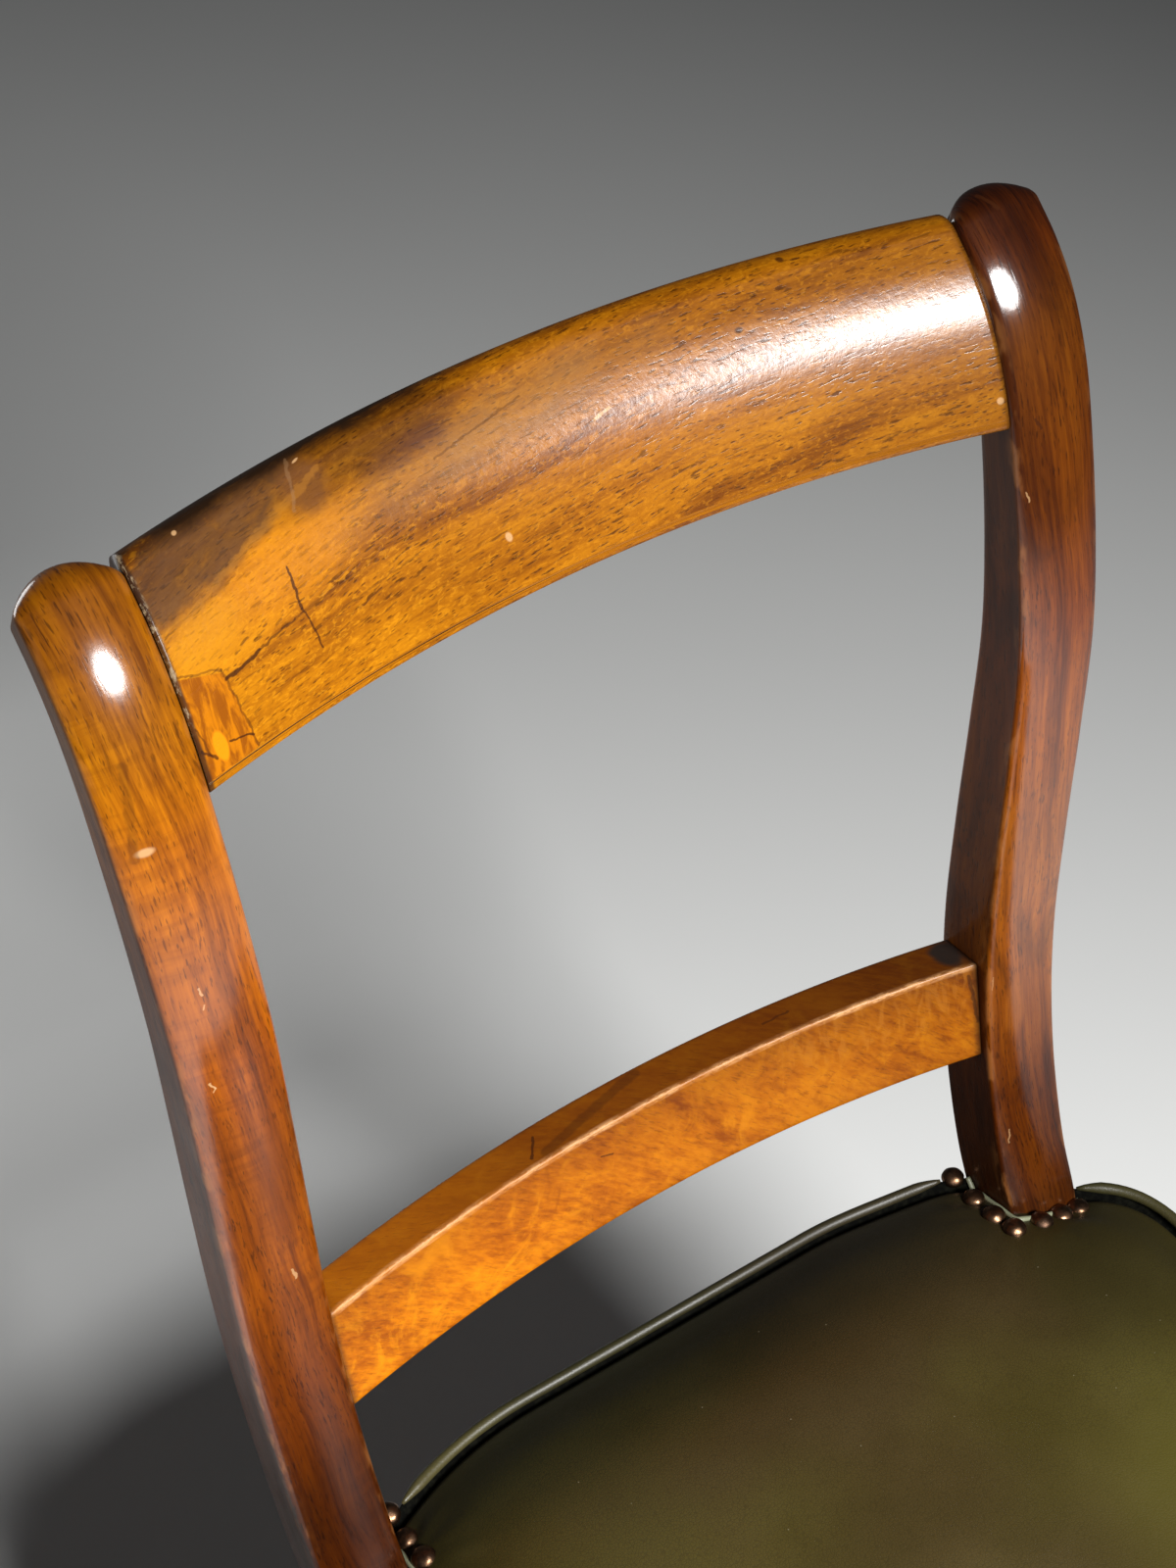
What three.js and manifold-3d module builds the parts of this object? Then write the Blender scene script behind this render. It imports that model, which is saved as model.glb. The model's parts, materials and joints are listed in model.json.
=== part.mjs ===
// A scroll-back klismos side chair: two posts that run on into sabre rear legs, a bowed crest
// rail, a bowed mid rail and a leather seat stuffed over its rails. Millimetres, +Z up.
// The chair faces -Y. While it is built, Y is counted from the front of the posts at the seat,
// and the finished chair is centred over the middle of its own footprint.
import * as THREE from "three";
import { mergeVertices } from "three/addons/utils/BufferGeometryUtils.js";
import Module from "manifold-3d";

const wasm = await Module();
wasm.setup();

// Fits
const gap = 0.3;
const cutOverrun = 5;

// Posts, each one piece with its rear leg
const seatLine = 438;
const backRise = 449;
const backSweep = 106;
const legSweep = 82;
const postSpan = 364;
const postWidth = 34;
const postFootWidth = 27;
const postDepthSeat = 33;
const postDepthTop = 19;
const postDepthFoot = 26;
const postCrownSeat = 2;
const postCrownTop = 4.5;
const postEase = 2;
const postNoseLength = 12;
// How much of a quarter turn the rounded end is carried through before its small flat
const postNoseShare = 0.93;

// Front line of a post: how far back and how high, as shares of backSweep and backRise
const backLineShares = [
  [0, 0], [0.1, 0.048], [0.226, 0.134], [0.316, 0.223], [0.373, 0.316], [0.402, 0.434],
  [0.421, 0.557], [0.448, 0.668], [0.509, 0.753], [0.594, 0.835], [0.684, 0.902],
  [0.792, 0.951], [0.896, 0.98], [1, 1],
];
// The same line down the rear leg, as shares of legSweep and seatLine
const legLineShares = [
  [1.12, -1.045], [1, -1], [0.659, -0.868], [0.341, -0.719], [0.098, -0.559], [-0.073, -0.411],
  [-0.159, -0.274], [-0.171, -0.171], [-0.134, -0.091], [-0.07, -0.036],
];

// Crest rail
const crestFoot = 391;
const crestSetBack = 1.8;
const crestThickness = 20;
const crestTipThickness = 17;
const crestBow = 20.4;
const crestEase = 2.5;
const crestTenonHeight = 40;
const crestTenonThickness = 8;
const crestTenonLength = 20;
const crestTenonRise = 412;

// Mid rail
const midRailRise = 130;
const midRailSetBack = 7.5;
const midRailHeight = 50;
const midRailThickness = 20;
const midRailTilt = 0.22;
const midRailBow = 15.6;
const midRailEase = 0.8;
const midTenonHeight = 36;
const midTenonThickness = 9;
const midTenonLength = 18;

// Seat frame
const railHeight = 62;
const railDrop = 22;
const railThickness = 26;
const rearRailThickness = 22;
const rearRailFace = 20;
const frameDepth = 396;
const frameFrontSpan = 436;
// The frame is flush with the outer faces of the back posts
const frameRearSpan = postSpan;
const frameFrontBow = 8;
// The side rails leave the posts straight, then swell out in one long curve to the front corner
const frameShoulder = 34;
const frameShoulderFlare = 5;
const frameSwell = 22;
const frameSwellReach = 94;
const frameCorner = 28;
const railTenonHeight = 44;
const railTenonThickness = 9;
const rearTenonLength = 18;
const sideTenonLength = 13;
const frontTenonLength = 14;
const sideTenonInset = 4;

// Front sabre legs
const legTopSize = 41;
const legToeWidth = 27;
const legToeDepth = 27;
const toeSweep = 30;
const legEase = 2;
const legSwellPower = 0.8;
const legCornerPower = 3;
// Front line of a front leg: how far forward as a share of toeSweep, and height as a share
// of the underside of the rails
const toeLineShares = [
  [1.1, -0.03], [1, 0], [0.56, 0.13], [0.2, 0.3], [0, 0.5], [-0.06, 0.72], [0, 1],
];

// Corner blocks and their screws
const blockHeight = 42;
const blockWidth = 24;
const blockReach = 42;
const screwShankRadius = 2.2;
const screwHeadRadius = 4.6;
const screwHeadHeight = 2.8;
const screwPoint = 5;
const screwLength = 42;
const screwClearance = 0.4;

// Webbing, hessian and dust cover
const webWidth = 50;
const webThickness = 1.6;
const webPitch = 92;
const webWeave = 1.2;
const webCrispness = 2.6;
const webLanding = 18;
const clothThickness = 1.2;
const clothInset = 6;
const dustInset = 7;

// Seat: the leather bulges past the rails and posts, is drawn in below and is crowned above
const seatRearOverhang = 26;
const seatSideOverhang = 8;
const seatFrontOverhang = 6;
const seatRearCornerIn = 36;
const seatCornerFall = 10;
const seatCornerIn = 10;
const seatNotchReach = 2.6;
const seatNotchOverhang = 4;
const seatShoulderOverhang = 30;
const seatShoulderTurn = 9;
const seatShoulderFront = 40;
const seatFrontBow = 8;
const seatFrontCorner = 46;
const seatEdgeRise = 14;
const seatCrownRise = 34;
const leatherThickness = 1.8;
const leatherHem = 2;
const padSkirt = 27;
const padClearance = 0.35;
const seatRoom = 1;

// Welt round the seat's edge
const weltRadius = 2.4;
// Which way the welt lies off the seat's widest line, as shares of its reach
const weltOutShare = 0.85;
const weltUpShare = 0.52;

// Dome nails round the foot of each post
const nailRadius = 5.2;
const nailDome = 3.8;
const nailShankRadius = 1.1;
const nailShankLength = 11;
const nailHoleClearance = 0.8;
const nailStandOff = 7.2;
const nailCornerOff = 4.5;
const nailFrontRoom = 1.8;
const nailPitch = 11.8;
const nailBedding = 0.6;

const railTop = seatLine - railDrop;
const railBottom = railTop - railHeight;
const postOuter = postSpan / 2;
const postInner = postOuter - postWidth;
const seatRearReach = rearRailFace + seatRearOverhang;
const seatFrontReach = frameDepth + seatFrontOverhang;
const seatMiddle = (seatRearReach - seatFrontReach) / 2;
const seatBulgeHeight = railTop + seatEdgeRise;
const seatCrownHeight = seatBulgeHeight + seatCrownRise;

// Colours from the photograph
const finishes = {
  post: { color: 0x8a4313, roughness: 0.32, metalness: 0 },
  crest: { color: 0xa0611a, roughness: 0.3, metalness: 0 },
  midRail: { color: 0xb87420, roughness: 0.35, metalness: 0 },
  frame: { color: 0xb8935f, roughness: 0.7, metalness: 0 },
  leather: { color: 0x3a381b, roughness: 0.42, metalness: 0 },
  stuffing: { color: 0x5b4a35, roughness: 0.95, metalness: 0 },
  webbing: { color: 0x9c8557, roughness: 0.9, metalness: 0 },
  cloth: { color: 0x8d7650, roughness: 0.95, metalness: 0 },
  dustCloth: { color: 0x1b1a19, roughness: 0.95, metalness: 0 },
  brass: { color: 0x7a5a3a, roughness: 0.38, metalness: 1 },
  steel: { color: 0x7d7f82, roughness: 0.4, metalness: 1 },
};

// Solids

// Volume inside a geometry, negative when its faces point inwards.
function signedVolume(geometry) {
  const at = geometry.attributes.position;
  const order = geometry.index;
  const corners = [new THREE.Vector3(), new THREE.Vector3(), new THREE.Vector3()];
  let total = 0;
  for (let i = 0; i < order.count; i += 3) {
    corners.forEach((corner, k) => corner.fromBufferAttribute(at, order.getX(i + k)));
    total += corners[0].dot(corners[1].clone().cross(corners[2])) / 6;
  }
  return total;
}

// A closed geometry as a solid with its faces pointing out.
function solidOf(geometry) {
  const bare = geometry.clone();
  bare.deleteAttribute("normal");
  bare.deleteAttribute("uv");
  const merged = mergeVertices(bare);
  const triVerts = new Uint32Array(merged.index.array);
  if (signedVolume(merged) < 0) {
    for (let i = 0; i < triVerts.length; i += 3) {
      [triVerts[i], triVerts[i + 1]] = [triVerts[i + 1], triVerts[i]];
    }
  }
  const vertProperties = new Float32Array(merged.attributes.position.array);
  return new wasm.Manifold(new wasm.Mesh({ numProp: 3, vertProperties, triVerts }));
}

// A solid as a named mesh.
function meshOf(name, solid, finish) {
  const { vertProperties, triVerts, numProp } = solid.getMesh();
  const positions = new Float32Array((vertProperties.length / numProp) * 3);
  for (let i = 0; i < vertProperties.length / numProp; i += 1) {
    positions.set(vertProperties.subarray(i * numProp, i * numProp + 3), i * 3);
  }
  const geometry = new THREE.BufferGeometry();
  geometry.setAttribute("position", new THREE.BufferAttribute(positions, 3));
  geometry.setIndex(new THREE.BufferAttribute(new Uint32Array(triVerts), 1));
  geometry.computeVertexNormals();
  const mesh = new THREE.Mesh(geometry, new THREE.MeshStandardMaterial(finishes[finish]));
  mesh.name = name;
  return mesh;
}

// A surface through rings of as many points each, with both ends capped. The flat outlines
// give the caps their triangles, so a cap may be hollow-sided.
function loft(rings, firstOutline, lastOutline = firstOutline) {
  const count = rings[0].length;
  const positions = rings.flat().flatMap((p) => [p.x, p.y, p.z]);
  const faces = [];
  for (let i = 0; i + 1 < rings.length; i += 1) {
    for (let j = 0; j < count; j += 1) {
      const next = (j + 1) % count;
      const [a, b] = [i * count + j, i * count + next];
      faces.push(a, b, b + count, a, b + count, a + count);
    }
  }
  const last = (rings.length - 1) * count;
  THREE.ShapeUtils.triangulateShape(orient(firstOutline), []).forEach(([a, b, c]) => {
    faces.push(...turnTo(firstOutline, a, c, b));
  });
  THREE.ShapeUtils.triangulateShape(orient(lastOutline), []).forEach(([a, b, c]) => {
    faces.push(...turnTo(lastOutline, a, b, c).map((k) => last + k));
  });
  const geometry = new THREE.BufferGeometry();
  geometry.setAttribute("position", new THREE.Float32BufferAttribute(positions, 3));
  geometry.setIndex(faces);
  return geometry;
}

// The triangulation wants its outline anticlockwise; a clockwise one is read backwards.
function orient(outline) {
  return THREE.ShapeUtils.isClockWise(outline) ? [...outline].reverse() : outline;
}

// The corners of a cap triangle as places in the outline as it was given.
function turnTo(outline, ...corners) {
  if (!THREE.ShapeUtils.isClockWise(outline)) return corners;
  return corners.map((k) => outline.length - 1 - k).reverse();
}

// A block given by its size and the place of its middle, turned about X by tilt.
function block(size, middle, tilt = 0) {
  const geometry = new THREE.BoxGeometry(size.x, size.y, size.z);
  geometry.rotateX(-tilt);
  geometry.translate(middle.x, middle.y, middle.z);
  return solidOf(geometry);
}

// A prism over a plan outline, from one height to another.
function prism(outline, low, high) {
  const shape = new THREE.Shape(outline);
  const geometry = new THREE.ExtrudeGeometry(shape, { depth: high - low, bevelEnabled: false });
  geometry.translate(0, 0, low);
  return solidOf(geometry);
}

// Both sides of a pair: the right one is built, the left one is its mirror image.
function pair(name, right, finish) {
  return [
    meshOf(`${name}_right`, right, finish),
    meshOf(`${name}_left`, right.mirror([1, 0, 0]), finish),
  ];
}

function mix(a, b, t) {
  return a + (b - a) * t;
}

// Posts

const postLine = new THREE.CatmullRomCurve3(
  [
    ...legLineShares.map(([y, z]) => new THREE.Vector3(0, y * legSweep, z * seatLine)),
    ...backLineShares.map(([y, z]) => new THREE.Vector3(0, y * backSweep, z * backRise)),
  ],
  false,
  "centripetal",
);

// Width, depth and crown of the post where its front line stands this high over the seat. The
// leg keeps its full size as far down as the rails reach.
function postSizes(rise) {
  const up = THREE.MathUtils.clamp(rise / backRise, 0, 1);
  const down = THREE.MathUtils.clamp((railBottom - seatLine - rise) / railBottom, 0, 1);
  const depthUp = mix(postDepthSeat, postDepthTop, up ** 1.5);
  return {
    width: mix(postWidth, postFootWidth, down),
    depth: rise > 0 ? depthUp : mix(postDepthSeat, postDepthFoot, down),
    crown: mix(postCrownSeat, postCrownTop, up ** 2) * (1 - down),
  };
}

// Section of a post, across and inwards from its front line: a crowned front and eased edges.
function postSection({ width, depth, crown }, grow = 0) {
  const half = width / 2;
  const ease = Math.min(postEase, depth / 3);
  const front = [-1, -0.6, -0.2, 0.2, 0.6, 1].map((u) => {
    return new THREE.Vector2(u * (half - ease), -crown * (1 - u * u));
  });
  const back = [
    new THREE.Vector2(half, ease),
    new THREE.Vector2(half, depth - ease),
    new THREE.Vector2(half - ease, depth),
    new THREE.Vector2(ease - half, depth),
    new THREE.Vector2(-half, depth - ease),
    new THREE.Vector2(-half, ease),
  ];
  const middle = new THREE.Vector2(0, depth / 2);
  return [...front, ...back].map((p) => {
    const out = p.clone().sub(middle);
    return p.add(out.setLength(grow));
  });
}

// Where the front line is, which way it runs and which way the depth goes, at a share along it.
function postStation(share) {
  const at = postLine.getPointAt(share);
  const along = postLine.getTangentAt(share);
  return { at, along, inward: new THREE.Vector3(0, along.z, -along.y) };
}

// A post lofted along its front line and closed by a half-round nose.
function postSolid(stations, noseSteps, grow = 0) {
  const rings = [];
  const outlines = [];
  const addRing = (station, sizes, shift, sink) => {
    const outline = postSection(sizes, grow);
    const base = station.at.clone().addScaledVector(station.along, shift);
    base.addScaledVector(station.inward, sink);
    outlines.push(outline);
    rings.push(outline.map((p) => {
      const place = base.clone().addScaledVector(station.inward, p.y);
      place.x = postOuter - postWidth / 2 + p.x;
      return place;
    }));
  };
  for (let i = 0; i <= stations; i += 1) {
    const station = postStation(i / stations);
    addRing(station, postSizes(station.at.z), 0, 0);
  }
  const end = postStation(1);
  const full = postSizes(end.at.z);
  for (let i = 1; i <= noseSteps; i += 1) {
    const turn = (i / noseSteps) * postNoseShare * (Math.PI / 2);
    const depth = full.depth * Math.cos(turn);
    const sizes = {
      width: full.width - full.depth * (1 - Math.cos(turn)) / 2,
      depth,
      crown: full.crown * Math.cos(turn),
    };
    addRing(end, sizes, postNoseLength * Math.sin(turn), (full.depth - depth) / 2);
  }
  return solidOf(loft(rings, outlines[0], outlines[outlines.length - 1]))
    .translate([0, 0, seatLine]);
}

// The height over the seat, the depth and the lean of the post at a given rise.
function postAtRise(rise) {
  let low = 0;
  let high = 1;
  for (let i = 0; i < 40; i += 1) {
    const middle = (low + high) / 2;
    if (postLine.getPointAt(middle).z < rise) low = middle;
    else high = middle;
  }
  const station = postStation(low);
  return { ...station, ...postSizes(rise), lean: Math.atan2(station.along.y, station.along.z) };
}

// Crest rail

// Side view of the crest rail as a closed outline: the posts' front line set back, a half-round
// nose over the top, and the back of the rail down to its eased lower edge.
function crestOutline() {
  const steps = 9;
  const noseSteps = 5;
  const front = [];
  const back = [];
  const bottom = postAtRise(crestFoot);
  const thickness = (share) => mix(crestThickness, crestTipThickness, share);
  for (let i = 0; i <= steps; i += 1) {
    const rise = mix(crestFoot, backRise, Math.sin((i / steps) * (Math.PI / 2)));
    const { at, inward } = postAtRise(rise);
    const face = at.clone().addScaledVector(inward, crestSetBack);
    front.push(face);
    back.unshift(face.clone().addScaledVector(inward, thickness(i / steps)));
  }
  const end = postStation(1);
  const middle = end.at.clone().addScaledVector(end.inward, crestSetBack + crestTipThickness / 2);
  const nose = [];
  for (let i = 1; i < noseSteps; i += 1) {
    const turn = (i / noseSteps) * Math.PI;
    const place = middle.clone();
    place.addScaledVector(end.inward, (-Math.cos(turn) * crestTipThickness) / 2);
    place.addScaledVector(end.along, (Math.sin(turn) * crestTipThickness) / 2);
    nose.push(place);
  }
  const frontFoot = front[0].clone();
  const backFoot = back[back.length - 1].clone();
  front[0].addScaledVector(bottom.along, crestEase);
  back[back.length - 1].addScaledVector(bottom.along, crestEase);
  const foot = [
    backFoot.addScaledVector(bottom.inward, -crestEase),
    frontFoot.addScaledVector(bottom.inward, crestEase),
  ];
  return [...front, ...nose, ...back, ...foot];
}

// A rail bowed back between the posts: one side view carried across, its ends flat.
function bowedRail(outline, bow) {
  const stations = 18;
  const half = postInner - gap;
  const rings = [];
  for (let i = 0; i <= stations; i += 1) {
    const across = (i / stations) * 2 - 1;
    const shift = bow * (1 - across * across);
    rings.push(outline.map((p) => new THREE.Vector3(across * half, p.y + shift, p.z)));
  }
  const flat = outline.map((p) => new THREE.Vector2(p.y, p.z));
  return solidOf(loft(rings, flat)).translate([0, 0, seatLine]);
}

// A tenon from the inner face of the right post outwards, and the mortise that takes it.
function tenonIntoPost(size, middle, tilt, spare) {
  const root = postInner - gap - cutOverrun;
  const tip = postInner + size.x + spare;
  return block(
    new THREE.Vector3(tip - root, size.y + 2 * spare, size.z + 2 * spare),
    new THREE.Vector3((root + tip) / 2, middle.y, middle.z),
    tilt,
  );
}

function crestTenon(spare) {
  const { at, inward, lean } = postAtRise(crestTenonRise);
  const middle = at.clone().addScaledVector(inward, crestSetBack + crestThickness / 2);
  middle.z += seatLine;
  const size = new THREE.Vector3(crestTenonLength, crestTenonThickness, crestTenonHeight);
  return tenonIntoPost(size, middle, lean, spare);
}

// Mid rail

// Side view of the mid rail: an upright oblong, tilted back with the posts, with eased edges.
function midRailOutline() {
  const top = postAtRise(midRailRise).at.clone();
  top.y += midRailSetBack;
  const down = new THREE.Vector3(0, -Math.sin(midRailTilt), -Math.cos(midRailTilt));
  const back = new THREE.Vector3(0, Math.cos(midRailTilt), -Math.sin(midRailTilt));
  const place = (inwards, downwards) => {
    return top.clone().addScaledVector(back, inwards).addScaledVector(down, downwards);
  };
  const ease = midRailEase;
  return [
    place(0, ease), place(0, midRailHeight - ease),
    place(ease, midRailHeight), place(midRailThickness - ease, midRailHeight),
    place(midRailThickness, midRailHeight - ease), place(midRailThickness, ease),
    place(midRailThickness - ease, 0), place(ease, 0),
  ];
}

function midTenon(spare) {
  const outline = midRailOutline();
  const middle = outline.reduce((sum, p) => sum.add(p), new THREE.Vector3());
  middle.divideScalar(outline.length);
  middle.z += seatLine;
  const size = new THREE.Vector3(midTenonLength, midTenonThickness, midTenonHeight);
  return tenonIntoPost(size, middle, midRailTilt, spare);
}

// Seat outlines

const outlineSteps = [2, 4, 2, 4, 4, 2];

// A closed plan outline from the middle of the back round by the right and back by the left: a
// straight run to the rear corner, then curves, each with the point that pulls it and its end.
function planOutline(rearCorner, curves) {
  const path = new THREE.Path();
  path.moveTo(0, rearCorner[1]);
  path.lineTo(...rearCorner);
  curves.forEach(([pull, end]) => path.quadraticCurveTo(...pull, ...end));
  const right = path.curves.flatMap((curve, i) => curve.getPoints(outlineSteps[i]).slice(0, -1));
  const front = new THREE.Vector2(...curves[curves.length - 1][1]);
  const left = right.slice(1).reverse().map((p) => new THREE.Vector2(-p.x, p.y));
  return [...right, front, ...left];
}

const frameRearHalf = frameRearSpan / 2;
const frameFrontHalf = frameFrontSpan / 2;
const frameFrontFlat = frameFrontHalf - frameCorner;

const seatRearHalf = postInner - seatRearCornerIn;
const seatFrontHalf = frameFrontHalf + seatSideOverhang;
const seatFrontFlat = seatFrontHalf - seatFrontCorner;
const seatShoulderHalf = postOuter + seatShoulderOverhang;

// Outer faces of the seat frame.
const frameRing = planOutline([seatRearHalf, rearRailFace], [
  [[postOuter, rearRailFace], [frameRearHalf, 0]],
  [[frameRearHalf, -frameShoulder / 2], [frameRearHalf + frameShoulderFlare, -frameShoulder]],
  [[frameRearHalf + frameSwell, -frameSwellReach], [frameFrontHalf, frameCorner - frameDepth]],
  [[frameFrontHalf, frameFrontBow - frameDepth], [frameFrontFlat, frameFrontBow / 2 - frameDepth]],
  [[frameFrontFlat / 2, -frameDepth], [0, -frameDepth]],
]);

// The seat's widest line, where the leather stands out furthest over the rails.
const bulgeRing = planOutline([seatRearHalf, seatRearReach], [
  [
    [postInner - seatCornerIn, seatRearReach - seatCornerFall],
    [postOuter + seatNotchOverhang, seatNotchReach],
  ],
  [[seatShoulderHalf, -seatShoulderTurn], [seatShoulderHalf, -seatShoulderFront]],
  [[seatFrontHalf, -frameDepth / 2], [seatFrontHalf, seatFrontCorner - frameDepth]],
  [[seatFrontHalf, seatFrontBow - seatFrontReach], [seatFrontFlat, seatFrontBow / 2 - seatFrontReach]],
  [[seatFrontFlat / 2, -seatFrontReach], [0, -seatFrontReach]],
]);

// A plan ring between the frame (0) and the seat's widest line (1), moved outwards by out.
function seatRing(bulge, out = 0) {
  const middle = new THREE.Vector2(0, seatMiddle);
  return frameRing.map((p, i) => {
    const place = p.clone().lerp(bulgeRing[i], bulge);
    const ray = place.clone().sub(middle);
    return middle.clone().add(ray.setLength(ray.length() + out));
  });
}

// Side of the seat from its lower edge up: bulge share against height share of the bulge.
const seatSideShares = [[0, 0], [0.06, 0.25], [0.42, 0.55], [0.85, 0.82], [1, 1]];
// Top of the seat from its edge to its middle: size share against share of the crown.
const seatTopShares = [[0.975, 0.2], [0.93, 0.31], [0.82, 0.52], [0.56, 0.83], [0.2, 1]];

// The seat's closed form, drawn in by inset all round.
function seatForm(inset, bottom) {
  const rings = [];
  const at = (ring, z) => rings.push(ring.map((p) => new THREE.Vector3(p.x, p.y, z)));
  const low = railBottom + leatherHem;
  const outset = gap + leatherThickness - inset;
  at(seatRing(0, outset), bottom);
  seatSideShares.slice(bottom < low ? 0 : 1).forEach(([bulge, rise]) => {
    const z = mix(low, seatBulgeHeight, rise);
    const lift = mix(outset, -inset, bulge);
    if (z > bottom + gap) at(seatRing(bulge, lift), z);
  });
  seatTopShares.forEach(([size, crown]) => {
    const z = mix(seatBulgeHeight, seatCrownHeight, crown) - inset;
    at(seatRing(1, -inset).map((p) => {
      return new THREE.Vector2(p.x * size, mix(seatMiddle, p.y, size));
    }), z);
  });
  const flat = rings[0].map((p) => new THREE.Vector2(p.x, p.y));
  return solidOf(loft(rings, flat, flat));
}

// Seat frame

const frameInnerRear = rearRailFace - rearRailThickness;
const frameInnerFront = frameFrontBow + railThickness - frameDepth;
const sideInnerRear = frameRearHalf - railThickness;
const sideInnerFront = frameFrontHalf - railThickness;

// Inner face of a side rail: its distance from the middle at a given Y.
function sideInner(y) {
  return mix(sideInnerRear, sideInnerFront, y / frameInnerFront);
}

const frameInner = [
  new THREE.Vector2(sideInner(frameInnerRear), frameInnerRear),
  new THREE.Vector2(-sideInner(frameInnerRear), frameInnerRear),
  new THREE.Vector2(-sideInnerFront, frameInnerFront),
  new THREE.Vector2(sideInnerFront, frameInnerFront),
];

const postFrontAtRails = Math.min(
  postAtRise(railTop - seatLine).at.y,
  postAtRise(railBottom - seatLine).at.y,
  postAtRise((railTop + railBottom) / 2 - seatLine).at.y,
) - postCrownSeat;

const legBack = legTopSize - frameDepth + frameFrontBow / 2;
const legInner = frameFrontHalf - legTopSize;
const railMiddle = (railTop + railBottom) / 2;

// A ring of rail stock that follows the frame outline, cut into rails by clip.
function railStock(clip) {
  const outer = prism(frameRing, railBottom, railTop);
  const inner = prism(frameInner, railBottom - cutOverrun, railTop + cutOverrun);
  return outer.subtract(inner).intersect(clip);
}

// A tenon of a side rail at x, from its root to its tip in Y.
function sideTenonBlock(x, root, tip, spare) {
  const thickness = railTenonThickness + 2 * spare;
  const length = Math.abs(tip - root) + spare;
  const middle = (root + tip + Math.sign(tip - root) * spare) / 2;
  return block(
    new THREE.Vector3(thickness, length, railTenonHeight + 2 * spare),
    new THREE.Vector3(x, middle, railMiddle),
  );
}

// A tenon of a front or rear rail at y, from its root to its tip in X.
function crossTenonBlock(y, root, tip, spare) {
  const thickness = railTenonThickness + 2 * spare;
  return block(
    new THREE.Vector3(tip - root + spare, thickness, railTenonHeight + 2 * spare),
    new THREE.Vector3((root + tip + spare) / 2, y, railMiddle),
  );
}

const sideRearTenonX = frameRearHalf - railThickness / 2;
const sideFrontTenonX = frameFrontHalf - railThickness / 2 - sideTenonInset;
const rearTenonY = rearRailFace - rearRailThickness / 2;
const frontTenonY = frameInnerFront - railThickness / 2;

function sideRearTenon(spare) {
  const root = postFrontAtRails - cutOverrun;
  return sideTenonBlock(sideRearTenonX, root, postFrontAtRails + sideTenonLength, spare);
}

function sideFrontTenon(spare) {
  return sideTenonBlock(sideFrontTenonX, legBack + cutOverrun, legBack - frontTenonLength, spare);
}

function rearRailTenon(spare) {
  return crossTenonBlock(rearTenonY, postInner - cutOverrun, postInner + rearTenonLength, spare);
}

function frontRailTenon(spare) {
  return crossTenonBlock(frontTenonY, legInner - cutOverrun, legInner + frontTenonLength, spare);
}

// A box that reaches over the rails' height, between two corners in plan.
function railClip(x0, x1, y0, y1) {
  return block(
    new THREE.Vector3(x1 - x0, y1 - y0, railHeight + 2 * cutOverrun),
    new THREE.Vector3((x0 + x1) / 2, (y0 + y1) / 2, railMiddle),
  );
}

function mirroredPair(solid) {
  return solid.add(solid.mirror([1, 0, 0]));
}

function rearRail() {
  const half = postInner - gap;
  const clip = railClip(-half, half, frameInnerRear - cutOverrun, rearRailFace + cutOverrun);
  return railStock(clip).add(mirroredPair(rearRailTenon(0)));
}

function frontRail() {
  const half = legInner - gap;
  const clip = railClip(-half, half, -frameDepth - cutOverrun, frameInnerFront + cutOverrun);
  return railStock(clip).add(mirroredPair(frontRailTenon(0)));
}

// A side rail's rear shoulder is scribed to the curve of the post.
function sideRail() {
  const clip = railClip(postInner, frameFrontHalf + cutOverrun, legBack + gap, 0);
  return railStock(clip).subtract(postScribe).add(sideRearTenon(0)).add(sideFrontTenon(0));
}

// Front legs

const toeLine = new THREE.CatmullRomCurve3(
  toeLineShares.map(([out, rise]) => new THREE.Vector3(0, -out * toeSweep, rise * railBottom)),
  false,
  "centripetal",
);

// Section of a front leg, measured from its outer front corner. That corner is rounded and the
// others are eased.
function legSection(width, depth, corner) {
  const rounded = [0, 0.25, 0.5, 0.75, 1].map((t) => [t * t * corner, (1 - t) ** 2 * corner]);
  return [
    [width - legEase, 0], [width, legEase], [width, depth - legEase],
    [width - legEase, depth], [legEase, depth], [0, depth - legEase],
    ...rounded,
  ].map(([u, v]) => new THREE.Vector2(u, v));
}

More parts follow.
